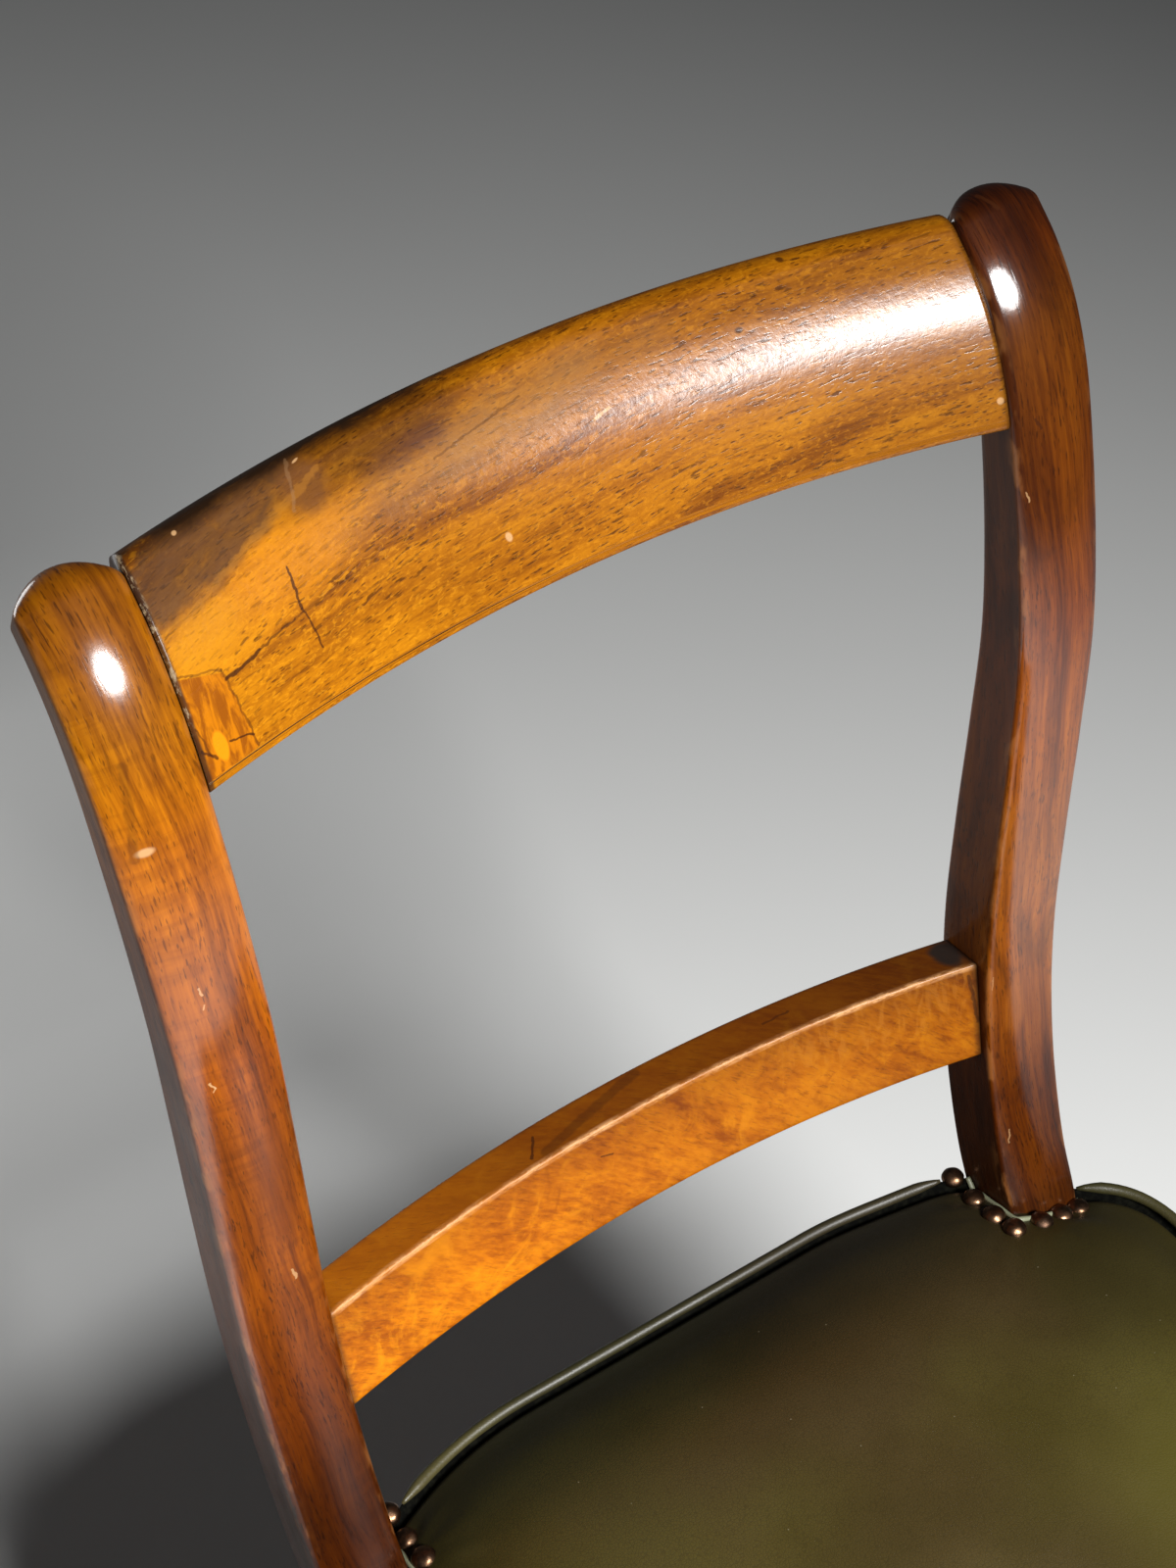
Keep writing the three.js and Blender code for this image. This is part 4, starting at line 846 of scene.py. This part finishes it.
def bowed(outline, bow, stations):
    """A section swept between the posts and bowed backwards, with its grain coordinates."""
    half = POST_INNER - GAP
    share = np.linspace(-1, 1, stations)
    across = np.sign(share) * np.abs(share) ** 0.98
    length = np.concatenate([[0], np.cumsum(np.linalg.norm(np.diff(outline, axis=0), axis=1))])
    rings, grains = [], []
    for a in across:
        side = np.full(len(outline), a * half)
        rings.append(np.column_stack([side, outline + (bow * (1 - a * a), 0)]))
        grains.append(np.stack([side, length, np.zeros(len(outline))], 1))
    verts, faces = loft(rings)
    verts[:, 1:] += (shift_y, SEAT_LINE)
    return verts, faces, np.concatenate(grains), across


def end_grime(across, reach, count):
    """Dirt towards both ends of a rail, for each of its points."""
    return np.repeat(np.exp(-((1 - np.abs(across)) * POST_INNER / reach) ** 2), count)


def build_crest():
    outline = crest_outline()
    verts, faces, grain, across = bowed(outline, CREST_BOW, CREST_STATIONS)
    grime = end_grime(across, 1.3, len(outline)) * 0.8
    return add_piece("crest", verts, faces, crest_wood, ["crest_rail"], grain, {"grime": grime})


def mid_outline():
    """Section of the mid rail from the top of its face down and round, and which points are its top."""
    top = line_at(MID_RISE)[0] + (MID_SET_BACK, 0)
    down = np.array([-math.sin(MID_TILT), -math.cos(MID_TILT)])
    back = np.array([math.cos(MID_TILT), -math.sin(MID_TILT)])
    deep, high, e, chamfer = MID_THICKNESS, MID_HEIGHT, MID_EASE, MID_EASE * 0.3
    places = [(0, d, 0) for d in np.linspace(e, high - e, 26)]
    places.append((chamfer, high - chamfer, 0))
    places += [(t, high, 0) for t in np.linspace(e, deep - e, 8)]
    places.append((deep - chamfer, high - chamfer, 0))
    places += [(deep, d, 0) for d in np.linspace(high - e, e, 16)]
    places.append((deep - chamfer, chamfer, 1))
    places += [(t, 0, 1) for t in np.linspace(deep - e, e, 12)]
    places.append((chamfer, chamfer, 0.5))
    return np.array([top + back * t + down * d for t, d, _ in places]), np.array([tops for _, _, tops in places])


def build_mid():
    outline, tops = mid_outline()
    verts, faces, grain, across = bowed(outline, MID_BOW, MID_STATIONS)
    edge = np.zeros(len(outline))
    edge[[-1, 0, -2]] = 1.0, 0.9, 0.55
    rough = np.array([0.5 + 0.5 * noise.noise(Vector((a * 9.0, 0.3, 0))) for a in across])
    wear = (edge[None] * np.clip(rough * 1.5, 0.25, 1)[:, None]).ravel()
    masks = {"wear": wear, "grime": end_grime(across, 2.2, len(outline)), "top": np.tile(tops, len(across))}
    return add_piece("mid_back_rail", verts, faces, mid_wood, ["mid_rail"], grain, masks)


# Front legs

LEG_TOP = 41.0
LEG_TOE = 27.0
TOE_SWEEP = 30.0
LEG_EASE = 2.0
LEG_STATIONS = 120
LEG_SOLE = 2.5
FRAME_FRONT_HALF = 218.0
FRAME_DEPTH = 396.0
FRAME_FRONT_BOW = 8.0
FRAME_CORNER = 28.0
FRAME_SHOULDER = 34.0
FRAME_SHOULDER_FLARE = 5.0
FRAME_SWELL = 22.0
FRAME_SWELL_REACH = 94.0
TOE_LINE = [(1.1, -0.03), (1, 0), (0.56, 0.13), (0.2, 0.3), (0, 0.5), (-0.06, 0.72), (0, 1)]


def leg_ring(size, corner):
    """Section of a front leg: square with eased corners, its outer front one rounder."""
    e = LEG_EASE
    far = size - e

    def rounded(cx, cy, start):
        turns = start + np.linspace(0, math.pi / 2, 4)
        return [(cx + e * math.cos(a), cy + e * math.sin(a)) for a in turns]

    pts = rounded(far, e, -math.pi / 2)
    pts += [(size, y) for y in np.linspace(e, far, 8)[1:-1]]
    pts += rounded(far, far, 0)
    pts += [(x, size) for x in np.linspace(far, e, 8)[1:-1]]
    pts += rounded(e, far, math.pi / 2)
    pts += [(0, y) for y in np.linspace(far, corner, 8)[1:-1]]
    pts += [(t * t * corner, (1 - t) ** 2 * corner) for t in np.linspace(0, 1, 9)]
    pts += [(x, 0) for x in np.linspace(corner, far, 6)[1:-1]]
    return np.array(pts)


def build_leg(side):
    """A sabre front leg, which goes on straight into the frame up to the rails' tops."""
    line, _, _ = resample(catmull([(-o * TOE_SWEEP, r * RAIL_BOTTOM) for o, r in TOE_LINE]), LEG_STATIONS)
    line = line[line[:, 1] > LEG_SOLE]
    y, z = line[0]
    sole = float(np.interp(0.0, [z - 3, z], [y - 2.4, y]))
    line = [(sole, 0.0), *line, (0.0, (RAIL_BOTTOM + RAIL_TOP) / 2), (0.0, RAIL_TOP)]
    rings, grains, wears = [], [], []
    for y, z in line:
        up = min(max(z / RAIL_BOTTOM, 0), 1)
        size = LEG_TOE + (LEG_TOP - LEG_TOE) * up ** 0.8
        section = leg_ring(size, LEG_EASE + (FRAME_CORNER - LEG_EASE) * up ** 3)
        height = np.full(len(section), z)
        across = side * (FRAME_FRONT_HALF - section[:, 0])
        rings.append(np.column_stack([across, FRAME_FRONT_BOW / 2 - FRAME_DEPTH + y + section[:, 1], height]))
        grains.append(np.column_stack([height, section]))
        wears.append(np.exp(-(np.minimum(section, size - section).sum(1) / 2.4) ** 2))
    verts, faces = loft(rings)
    verts[:, 1] += shift_y
    masks = {"wear": np.concatenate(wears) * 0.6, "grime": np.exp(-(verts[:, 2] / 7.0) ** 2) * 0.7}
    name = "right" if side > 0 else "left"
    return add_piece(f"leg_front_{name}", verts, faces, leg_wood, [f"front_leg_{name}"],
                     np.concatenate(grains), masks)


build_post(1, post_right_wood)
build_post(-1, post_left_wood)
build_crest()
build_mid()
build_leg(1)
build_leg(-1)


# Seat

SEAT_REAR_REACH = 47.0
SEAT_REAR_HALF = 70.0
FRAME_REAR_HALF = 112.0
SEAT_FRONT_REACH = 402.0
SEAT_FRONT_HALF = 226.0
SEAT_SHOULDER_HALF = 212.0
# The rear edge bends down to the notch beside each post, then out to the shoulder
SEAT_REAR_PULL = (131.0, 47.0)
SEAT_NOTCH = (186.0, 2.6)
SEAT_SHOULDER_PULL = -9.0
SEAT_SHOULDER = -40.0
SEAT_CORNER = 46.0
SEAT_FRONT_PULL = 8.0
SEAT_FRONT_BOW = 4.0
SEAT_MIDDLE = (SEAT_REAR_REACH - SEAT_FRONT_REACH) / 2
BULGE_HEIGHT = 430.0
CROWN_HEIGHT = 464.0
HEM_HEIGHT = RAIL_BOTTOM - 0.8
ROLL_RADIUS = 2.5
LEATHER_INSET = 0.8
HEM_OUT = 2.1
HEM_LIFT = 1.2
# How far the simulated stuffing may push the leather, and how long it runs
CLOTH_CAP = 1.8
CLOTH_FRAMES = 20


def bezier(p0, p1, p2, steps):
    """Points of a quadratic curve, without its last one."""
    t = np.linspace(0, 1, steps + 1)[:-1, None]
    p0, p1, p2 = (np.array(p, float) for p in (p0, p1, p2))
    return (1 - t) ** 2 * p0 + 2 * t * (1 - t) * p1 + t * t * p2


OUTLINE_STEPS = (24, 34, 20, 44, 26, 34)


def plan_outline(rear_corner, curves):
    """The outline in plan, from the middle of the back round by the right to just before it again."""
    start = np.array([0, rear_corner[1]], float)
    t = np.linspace(0, 1, OUTLINE_STEPS[0] + 1)[:-1, None]
    parts = [start + (np.array(rear_corner) - start) * t]
    at = rear_corner
    for (pull, end), steps in zip(curves, OUTLINE_STEPS[1:]):
        parts.append(bezier(at, pull, end, steps))
        at = end
    right = np.concatenate(parts)
    left = right[1:][::-1] * np.array([-1, 1])
    return np.concatenate([right, [at], left])


def frame_curves():
    half, front = FRAME_FRONT_HALF, -FRAME_DEPTH
    return [
        ((POST_OUTER, REAR_RAIL_FACE), (POST_OUTER, 0)),
        ((POST_OUTER, -FRAME_SHOULDER / 2), (POST_OUTER + FRAME_SHOULDER_FLARE, -FRAME_SHOULDER)),
        ((POST_OUTER + FRAME_SWELL, -FRAME_SWELL_REACH), (half, FRAME_CORNER + front)),
        ((half, FRAME_FRONT_BOW + front), (half - FRAME_CORNER, FRAME_FRONT_BOW / 2 + front)),
        (((half - FRAME_CORNER) / 2, front), (0, front)),
    ]


def seat_curves():
    half, front = SEAT_FRONT_HALF, -SEAT_FRONT_REACH
    return [
        (SEAT_REAR_PULL, SEAT_NOTCH),
        ((SEAT_SHOULDER_HALF, SEAT_SHOULDER_PULL), (SEAT_SHOULDER_HALF, SEAT_SHOULDER)),
        ((half, -FRAME_DEPTH / 2), (half, SEAT_CORNER - FRAME_DEPTH)),
        ((half, SEAT_FRONT_PULL + front), (half - SEAT_CORNER, SEAT_FRONT_BOW + front)),
        (((half - SEAT_CORNER) / 2, front), (0, front)),
    ]


frame_ring = plan_outline((FRAME_REAR_HALF, REAR_RAIL_FACE), frame_curves())
bulge_ring = plan_outline((SEAT_REAR_HALF, SEAT_REAR_REACH), seat_curves())
OUTLINE_COUNT = len(bulge_ring)


def seat_ring(bulge, out=0.0):
    """The outline between the frame's (0) and the seat's widest (1), moved outwards."""
    ring = frame_ring + (bulge_ring - frame_ring) * bulge
    ray = ring - np.array([0, SEAT_MIDDLE])
    length = np.linalg.norm(ray, axis=1)[:, None]
    return np.array([0, SEAT_MIDDLE]) + ray * (length + out) / length


def settle(points):
    """The leather climbs a little where it is drawn up at the posts, more on the right."""
    out = np.array(points, float)
    high = smooth01((out[:, 2] - 404) / 24)
    for side, back, up in ((1, 3.0, 5.5), (-1, -1.5, 4.5)):
        d2 = (out[:, 0] - side * 144) ** 2 + (out[:, 1] - shift_y - 30) ** 2
        weight = np.exp(-d2 / (2 * 20.0 ** 2)) * high
        out[:, 1] += back * weight
        out[:, 2] += up * weight
    return out


# Nails stand round each post: up its inner side and across its front, each with its own listed shift
NAIL_RADIUS = 5.2
NAIL_DOME = 3.8
NAIL_SIDES = 28
NAIL_SHIFTS = {
    "right": [(0, 5.0), (0, 3.4), (-0.3, 1.6), (-1.4, 2.4), (0.6, 0.4), (0.7, 0.9), (-1.2, 1.2)],
    "left": [(0, 1.2), (0.3, 0.6), (-0.4, -0.5), (0.5, 0.4), (-0.3, -0.5), (0.5, 0.3), (-0.6, 0.6)],
}


def nail_tip(node):
    """The top of a nail's solid."""
    pts = np.array([v.co for v in node.data.vertices]) / MM
    spread = pts - pts.mean(0)
    _, _, axes = np.linalg.svd(spread, full_matrices=False)
    axis = axes[0] if axes[0][2] > 0 else -axes[0]
    return pts.mean(0) + axis * (spread @ axis).max()


nail_places = {}
for node_name in sorted(n for n in nodes_in if n.startswith("dome_nail_")):
    _, _, number, nail_side = node_name.split("_")
    dx, dy = NAIL_SHIFTS[nail_side][int(number) - 1]
    tip = nail_tip(nodes_in[node_name])
    nail_places[node_name] = np.array([tip[0] + dx * (1 if nail_side == "right" else -1), tip[1] + dy])


def dimple(points):
    """Presses the leather in under each nail, with faint pulls between them."""
    out = np.array(points, float)
    high = smooth01((out[:, 2] - 420) / 6)
    for place in nail_places.values():
        d = out[:, :2] - place
        r2 = (d ** 2).sum(1)
        out[:, 2] -= 1.3 * np.exp(-r2 / (2 * 4.6 ** 2)) * high
    for side in (1, -1):
        d = out[:, :2] - np.array([side * 152, shift_y + 2])
        r = np.sqrt((d ** 2).sum(1))
        turn = np.arctan2(d[:, 1], d[:, 0])
        pull = np.sin(turn * 15 + side) * np.exp(-((r - 24) / 13) ** 2)
        out[:, 2] += 0.45 * pull * high
    return out


def pleats(points):
    """Small folds where the leather turns the front corners."""
    out = np.array(points, float)
    low = smooth01((BULGE_HEIGHT - 6 - out[:, 2]) / 60)
    for side in (1, -1):
        centre = np.array([side * (FRAME_FRONT_HALF - FRAME_CORNER), shift_y + FRAME_CORNER - FRAME_DEPTH])
        d = out[:, :2] - centre
        turn = np.arctan2(d[:, 1], d[:, 0] * side)
        near = np.exp(-((turn + math.pi / 4) / 0.5) ** 2) * (np.linalg.norm(d, axis=1) < 60)
        wave = np.maximum(0, np.sin(turn * 26)) ** 2
        ray = d / np.maximum(np.linalg.norm(d, axis=1), 1)[:, None]
        out[:, :2] -= ray * (1.1 * wave * near * low)[:, None]
    return out


SIDE_PROFILE = catmull([(0, 0), (0.06, 0.25), (0.42, 0.55), (0.85, 0.82), (0.985, 0.965), (1, 1)], 5)
# Shares of the plan's size and of the crown's height: the groove inside the roll, then the crown
GROOVE_PROFILE = [(0.9955, -0.03), (0.990, -0.09), (0.984, -0.11), (0.979, -0.07), (0.974, 0), (0.968, 0.04)]
CROWN_PROFILE = catmull(
    [(0.96, 0.08), (0.935, 0.20), (0.87, 0.44), (0.74, 0.67), (0.56, 0.83), (0.38, 0.93), (0.2, 0.985), (0.02, 1)], 5)
HEM_SHARES = (0.9, 0.95, 0.98, 0.995)


def seat_shell(inset=LEATHER_INSET):
    """The seat's closed form in millimetres. Its top dips into a groove inside the edge roll."""
    rings = []
    middle = np.array([0, SEAT_MIDDLE])

    def add(ring, size, z):
        rings.append(np.column_stack([middle + (ring - middle) * size, np.full(OUTLINE_COUNT, z)]))

    for size in HEM_SHARES:
        add(seat_ring(0, HEM_OUT - inset), size, HEM_HEIGHT)
    for bulge, rise in SIDE_PROFILE:
        lift = HEM_LIFT if rise == 0 else 0.0
        z = HEM_HEIGHT + lift + (BULGE_HEIGHT - HEM_HEIGHT) * rise
        add(seat_ring(bulge, (1 - bulge) * HEM_OUT - inset), 1.0, z)
    edge = seat_ring(1.0, -inset)
    for size, crown in [*GROOVE_PROFILE, *CROWN_PROFILE]:
        drop = inset * smooth01((1 - size) * 20)
        add(edge, size, BULGE_HEIGHT + (CROWN_HEIGHT - BULGE_HEIGHT) * crown - drop)
    verts, faces = loft(rings)
    verts[:, 1] += shift_y
    return verts, faces


def apply_modifiers(obj):
    """Gives an object the mesh that its modifiers make, and drops them."""
    depsgraph = bpy.context.evaluated_depsgraph_get()
    mesh = bpy.data.meshes.new_from_object(obj.evaluated_get(depsgraph))
    obj.modifiers.clear()
    old = obj.data
    obj.data = mesh
    bpy.data.meshes.remove(old)


def points_of(mesh):
    """The vertices of a mesh as rows."""
    flat = np.empty(len(mesh.vertices) * 3, np.float32)
    mesh.vertices.foreach_get("co", flat)
    return flat.reshape(-1, 3)


def cloth_move(verts, faces):
    """How far the stuffing pushes each point of the leather, from a cloth simulation, in mm."""
    form = mesh_object("seat_form", verts, faces)
    remesh = form.modifiers.new("remesh", "REMESH")
    remesh.mode = "VOXEL"
    remesh.voxel_size = 0.006
    apply_modifiers(form)
    before = points_of(form.data)
    cloth = form.modifiers.new("cloth", "CLOTH")
    cloth.settings.quality = 5
    cloth.settings.use_pressure = True
    cloth.settings.uniform_pressure_force = 4.0
    cloth.settings.effector_weights.gravity = 0.0
    cloth.settings.tension_stiffness = 30
    cloth.settings.compression_stiffness = 30
    cloth.point_cache.frame_start = 1
    cloth.point_cache.frame_end = CLOTH_FRAMES
    for number in range(1, CLOTH_FRAMES + 1):
        bpy.context.scene.frame_set(number)
    form_now = form.evaluated_get(bpy.context.evaluated_depsgraph_get())
    move = (points_of(form_now.data) - before) / MM
    bpy.context.scene.frame_set(1)
    length = np.linalg.norm(move, axis=1)[:, None]
    move *= np.minimum(1, CLOTH_CAP / np.maximum(length, 1e-9))
    tree = KDTree(len(before))
    for i, co in enumerate(before):
        tree.insert(co, i)
    tree.balance()
    out = np.zeros((len(verts), 3))
    for i, co in enumerate(np.asarray(verts) * MM):
        near = tree.find_n(co, 8)
        weights = [1 / (distance + 0.002) for _, _, distance in near]
        out[i] = sum(move[index] * w for (_, index, _), w in zip(near, weights)) / sum(weights)
    bpy.data.objects.remove(form)
    return out


def build_seat():
    verts, faces = seat_shell()
    free = smooth01((verts[:, 2] - HEM_HEIGHT - 4) / 30)
    free *= 1 - 0.9 * np.exp(-((verts[:, 2] - BULGE_HEIGHT + 1) / 4.5) ** 2)
    verts = verts + cloth_move(*seat_shell(LEATHER_INSET + 1.2)) * free[:, None]
    verts = pleats(dimple(settle(verts)))
    seat = add_piece("seat_leather", verts, faces, leather, ["leather_cover", "seat_pad"])
    # the seam inside the roll is a deep groove in painted shadow: five bands of faces from the widest section inwards
    seat.data.materials.append(groove_shadow)
    first = len(HEM_SHARES) + len(SIDE_PROFILE) - 1
    for poly in list(seat.data.polygons)[first * OUTLINE_COUNT:(first + 5) * OUTLINE_COUNT]:
        poly.material_index = 1
    return seat


seat = build_seat()
seat_tree = BVHTree.FromObject(seat, bpy.context.evaluated_depsgraph_get())


def on_seat(x, y):
    """The leather's top and its normal at a place in plan, in millimetres."""
    hit, normal, _, _ = seat_tree.ray_cast(Vector((x * MM, y * MM, 0.6)), Vector((0, 0, -1)))
    if hit is None or hit.z < (BULGE_HEIGHT - 8) * MM:
        return None, None
    return np.array(hit) / MM, np.array(normal)


def tube(path, radii, sides):
    """A tube along a path, with a radius at each of its points."""
    tan = np.gradient(path, axis=0)
    tan /= np.linalg.norm(tan, axis=1)[:, None]
    rings = []
    for at, along, radius in zip(path, tan, radii):
        out = np.cross(along, (0, 0, 1.0))
        out /= np.linalg.norm(out)
        up = np.cross(out, along)
        rings.append(np.array([at + (out * math.cos(a) + up * math.sin(a)) * radius
                               for a in np.linspace(0, 2 * math.pi, sides + 1)[:-1]]))
    return loft(rings)


def build_roll(name, first, last, replaced):
    """The roll along the seat's edge, between two points of the outline."""
    ring = seat_ring(1.0, -1.5)
    ids = np.arange(first, last + 1) % OUTLINE_COUNT
    path = np.column_stack([ring[ids], np.full(len(ids), BULGE_HEIGHT + 1.0)])
    path[:, 1] += shift_y
    path = settle(path)
    path, _, run = resample(path, int(len(ids) * 1.4))
    radii = []
    for at in run:
        grow = 1 + 0.06 * noise.noise(Vector((at * 0.04, 3.0, 0)))
        taper = min(1.0, (min(at, run[-1] - at) + 1.5) / 12.0) ** 0.6
        radii.append(ROLL_RADIUS * grow * taper)
    verts, faces = tube(path, radii, 16)
    return add_piece(name, verts, faces, leather_edge, replaced)


build_roll("seat_roll_rear", OUTLINE_COUNT - 43, OUTLINE_COUNT + 43, ["rear_welt"])
build_roll("seat_roll_front", 58, OUTLINE_COUNT - 58, ["seat_welt"])

LIP_GAP = 1.5
LIP_RADIUS = 1.15


def build_lip(side):
    """The cut edge of the leather, turned up round the foot of a post."""
    rise = BULGE_HEIGHT + 4 - SEAT_LINE
    sizes = post_sizes(rise)
    section = post_ring(*sizes)
    centre = np.array([0, sizes[1] / 2])
    ray = section - centre
    section = centre + ray * (1 + LIP_GAP / np.linalg.norm(ray, axis=1))[:, None]
    section = np.roll(section, -int(np.argmax(section[:, 1])), axis=0)
    at = (side * POST_MIDDLE, np.interp(rise, post_line[:, 1], post_line[:, 0]) + shift_y)
    tops = [on_seat(*place)[0] for place in np.concatenate([section, section[:1]]) + at]
    path, _, run = resample(np.array([top + (0, 0, 0.5) for top in tops if top is not None]), 90)
    radii = [LIP_RADIUS * (1 + 0.25 * noise.noise(Vector((d * 0.12, side * 5.0, 0)))) for d in run]
    verts, faces = tube(path, radii, 8)
    return add_piece(f"leather_lip_{'right' if side > 0 else 'left'}", verts, faces, raw_leather)


build_lip(1)
build_lip(-1)


# Nails


def build_nail(name):
    """A dome nail, a little out of round and out of true."""
    x, y = nail_places[name]
    base, normal = on_seat(x, y)
    if base is None:
        base, normal = np.array([x, y, BULGE_HEIGHT + 3]), np.array([0, 0, 1.0])
    lean = Vector((rand.uniform(-0.07, 0.07), rand.uniform(-0.07, 0.07), 0))
    axis = (Vector(normal) * 0.6 + Vector((0, 0, 0.4)) + lean).normalized()
    turn = Vector((0, 0, 1)).rotation_difference(axis)
    size = 1 + rand.uniform(-0.04, 0.04)
    radius = NAIL_RADIUS * size
    profile = [(1.1, -10.5), (1.1, -0.8), (radius * 0.86, -0.75), (radius, -0.2), (radius * 0.985, 0.5)]
    profile += [(radius * math.cos(a), NAIL_DOME * size * math.sin(a)) for a in np.linspace(0.22, 1.45, 9)]
    rings = []
    seed = rand.uniform(0, 50)
    for r, h in profile:
        ring = []
        for k in range(NAIL_SIDES):
            a = 2 * math.pi * k / NAIL_SIDES
            flaw = noise.noise(Vector((math.cos(a) * r * 0.35 + seed, math.sin(a) * r * 0.35, h * 0.35)))
            grow = 1 + (0.035 * flaw if h > -0.8 else 0)
            rise = h + (0.25 * flaw if h > 0 else 0)
            ring.append(turn @ Vector((r * grow * math.cos(a), r * grow * math.sin(a), rise)))
        rings.append(np.array(ring) + base + np.array(turn @ Vector((0, 0, 0.3))))
    verts, faces = loft(rings)
    return add_piece(name.replace("dome_nail", "nail"), verts, faces, bronze, [name])


rand = random.Random(7)
for node_name in sorted(nail_places):
    build_nail(node_name)


# Under the seat


CLOTH_THICKNESS = 0.0007


def build_sheet(name, node_name, material, inset, height, sag):
    """A cloth stretched over the frame, cut back round the posts, and sagging a little."""
    ring = seat_ring(0.0, -inset)
    ring[:, 1] += shift_y
    notch = shift_y - 14
    for side in (1, -1):
        near = (np.abs(ring[:, 0] - side * POST_MIDDLE) < POST_WIDTH / 2 + 8) & (ring[:, 1] > notch)
        ring[near, 1] = notch
    middle = np.array([0, SEAT_MIDDLE + shift_y])
    rings = []
    for share in (1.0, 0.97, 0.9, 0.8, 0.68, 0.54, 0.4, 0.26, 0.12):
        pts = middle + (ring - middle) * share
        wave = np.array([0.5 * noise.noise(Vector((p[0] * 0.02, p[1] * 0.02, share))) for p in pts])
        drop = sag * (1 - share ** 2) + wave * (1 - share) * 2
        rings.append(np.column_stack([pts, height - drop]))
    verts, faces = loft(rings, close_start=False)
    obj = add_piece(name, verts, faces, material, [node_name])
    solid = obj.modifiers.new("thickness", "SOLIDIFY")
    solid.thickness = CLOTH_THICKNESS
    solid.offset = 0.0
    x, y = ring[:, 0] * MM, ring[:, 1] * MM
    flat = (float(x.max() - x.min()), float(y.max() - y.min()))
    return obj


build_sheet("dust_cloth", "dust_cover", black_cloth, 7.5, HEM_HEIGHT - 0.9, 3.0)
build_sheet("hessian_sheet", "hessian", hessian_cloth, 6.5, RAIL_TOP + 2.6, -1.0)


# Carried-over solids

for node_name, node in nodes_in.items():
    if node_name.startswith(("side_seat_rail", "corner_block")):
        material = side_wood
    elif "seat_rail" in node_name:
        material = rail_wood
    elif node_name.startswith("block_screw"):
        material = steel
    elif node_name.startswith("web_strap"):
        material = jute
    else:
        continue
    node.data.materials.clear()
    node.data.materials.append(material)


# Floor, light and camera


def floor_material():
    material, tree, shader = tree_of("floor")
    coords = object_coords(tree)
    cloud = noise_at(coords, 1.6, 4.0, 0.5)
    put(shader.inputs["Base Color"], mix(cloud, (0.80, 0.805, 0.79), (0.86, 0.865, 0.85)))
    shader.inputs["Roughness"].default_value = 0.65
    return material


FLOOR_HALF = 6000.0
corners = [(x * FLOOR_HALF, y * FLOOR_HALF, 0) for x, y in ((-1, -1), (1, -1), (1, 1), (-1, 1))]
floor = mesh_object("floor", corners, [(0, 1, 2, 3)])
floor.data.materials.append(floor_material())


def area_light(name, place, aim, size, power):
    """An oval soft light that looks at a place."""
    data = bpy.data.lights.new(name, "AREA")
    data.shape = "ELLIPSE"
    data.size, data.size_y = size
    data.energy = power
    obj = bpy.data.objects.new(name, data)
    obj.location = place
    obj.rotation_euler = (Vector(aim) - Vector(place)).to_track_quat("-Z", "Y").to_euler()
    bpy.context.scene.collection.objects.link(obj)
    return obj


key = area_light("key_softbox", (0.22, -1.24, 1.83), (-0.35, -0.54, 0), (0.66, 0.70), 42)
key.data.spread = math.radians(106)

# a low fill behind the chair, which lights its wood and leaves the seat, the floor and the shadows alone
back = area_light("back_softbox", (-0.9, 2.2, 0.7), (0.0, 0.2, 0.5), (1.5, 1.2), 26)
BACK_LIT = ("post_right", "post_left", "crest", "mid_back_rail", "leg_front_right", "leg_front_left")
back_lit = bpy.data.collections.new("back_lit_wood")
for piece in bpy.context.scene.objects:
    if piece.type == "MESH" and any(word in piece.name for word in BACK_LIT):
        back_lit.objects.link(piece)
back.light_linking.receiver_collection = back_lit

world = bpy.data.worlds.new("studio")
bpy.context.scene.world = world
world.use_nodes = True
sky = world.node_tree.nodes["Background"]
sky.inputs["Color"].default_value = (0.78, 0.80, 0.82, 1)
sky.inputs["Strength"].default_value = 0.045

camera_data = bpy.data.cameras.new("camera")
camera = bpy.data.objects.new("camera", camera_data)
bpy.context.scene.collection.objects.link(camera)
bpy.context.scene.camera = camera
camera_data.sensor_width = 36.0
camera_data.lens = 59.79
camera_data.shift_x = 0.0016
camera_data.shift_y = -0.0009
camera_data.clip_start = 0.05
# The camera's axes and place, solved from the outline of the back
right = (0.84386652, -0.5364073, -0.01251018)
up = (0.40588072, 0.62292777, 0.66874646)
toward = (-0.35092755, -0.56941039, 0.74338527)
place = (-320.554 * MM, (-418.378 + shift_y) * MM, (955.09 + SEAT_LINE) * MM)
camera.matrix_world = Matrix([*zip(right, up, toward, place), (0, 0, 0, 1)])

bpy.context.scene.view_settings.view_transform = "Standard"
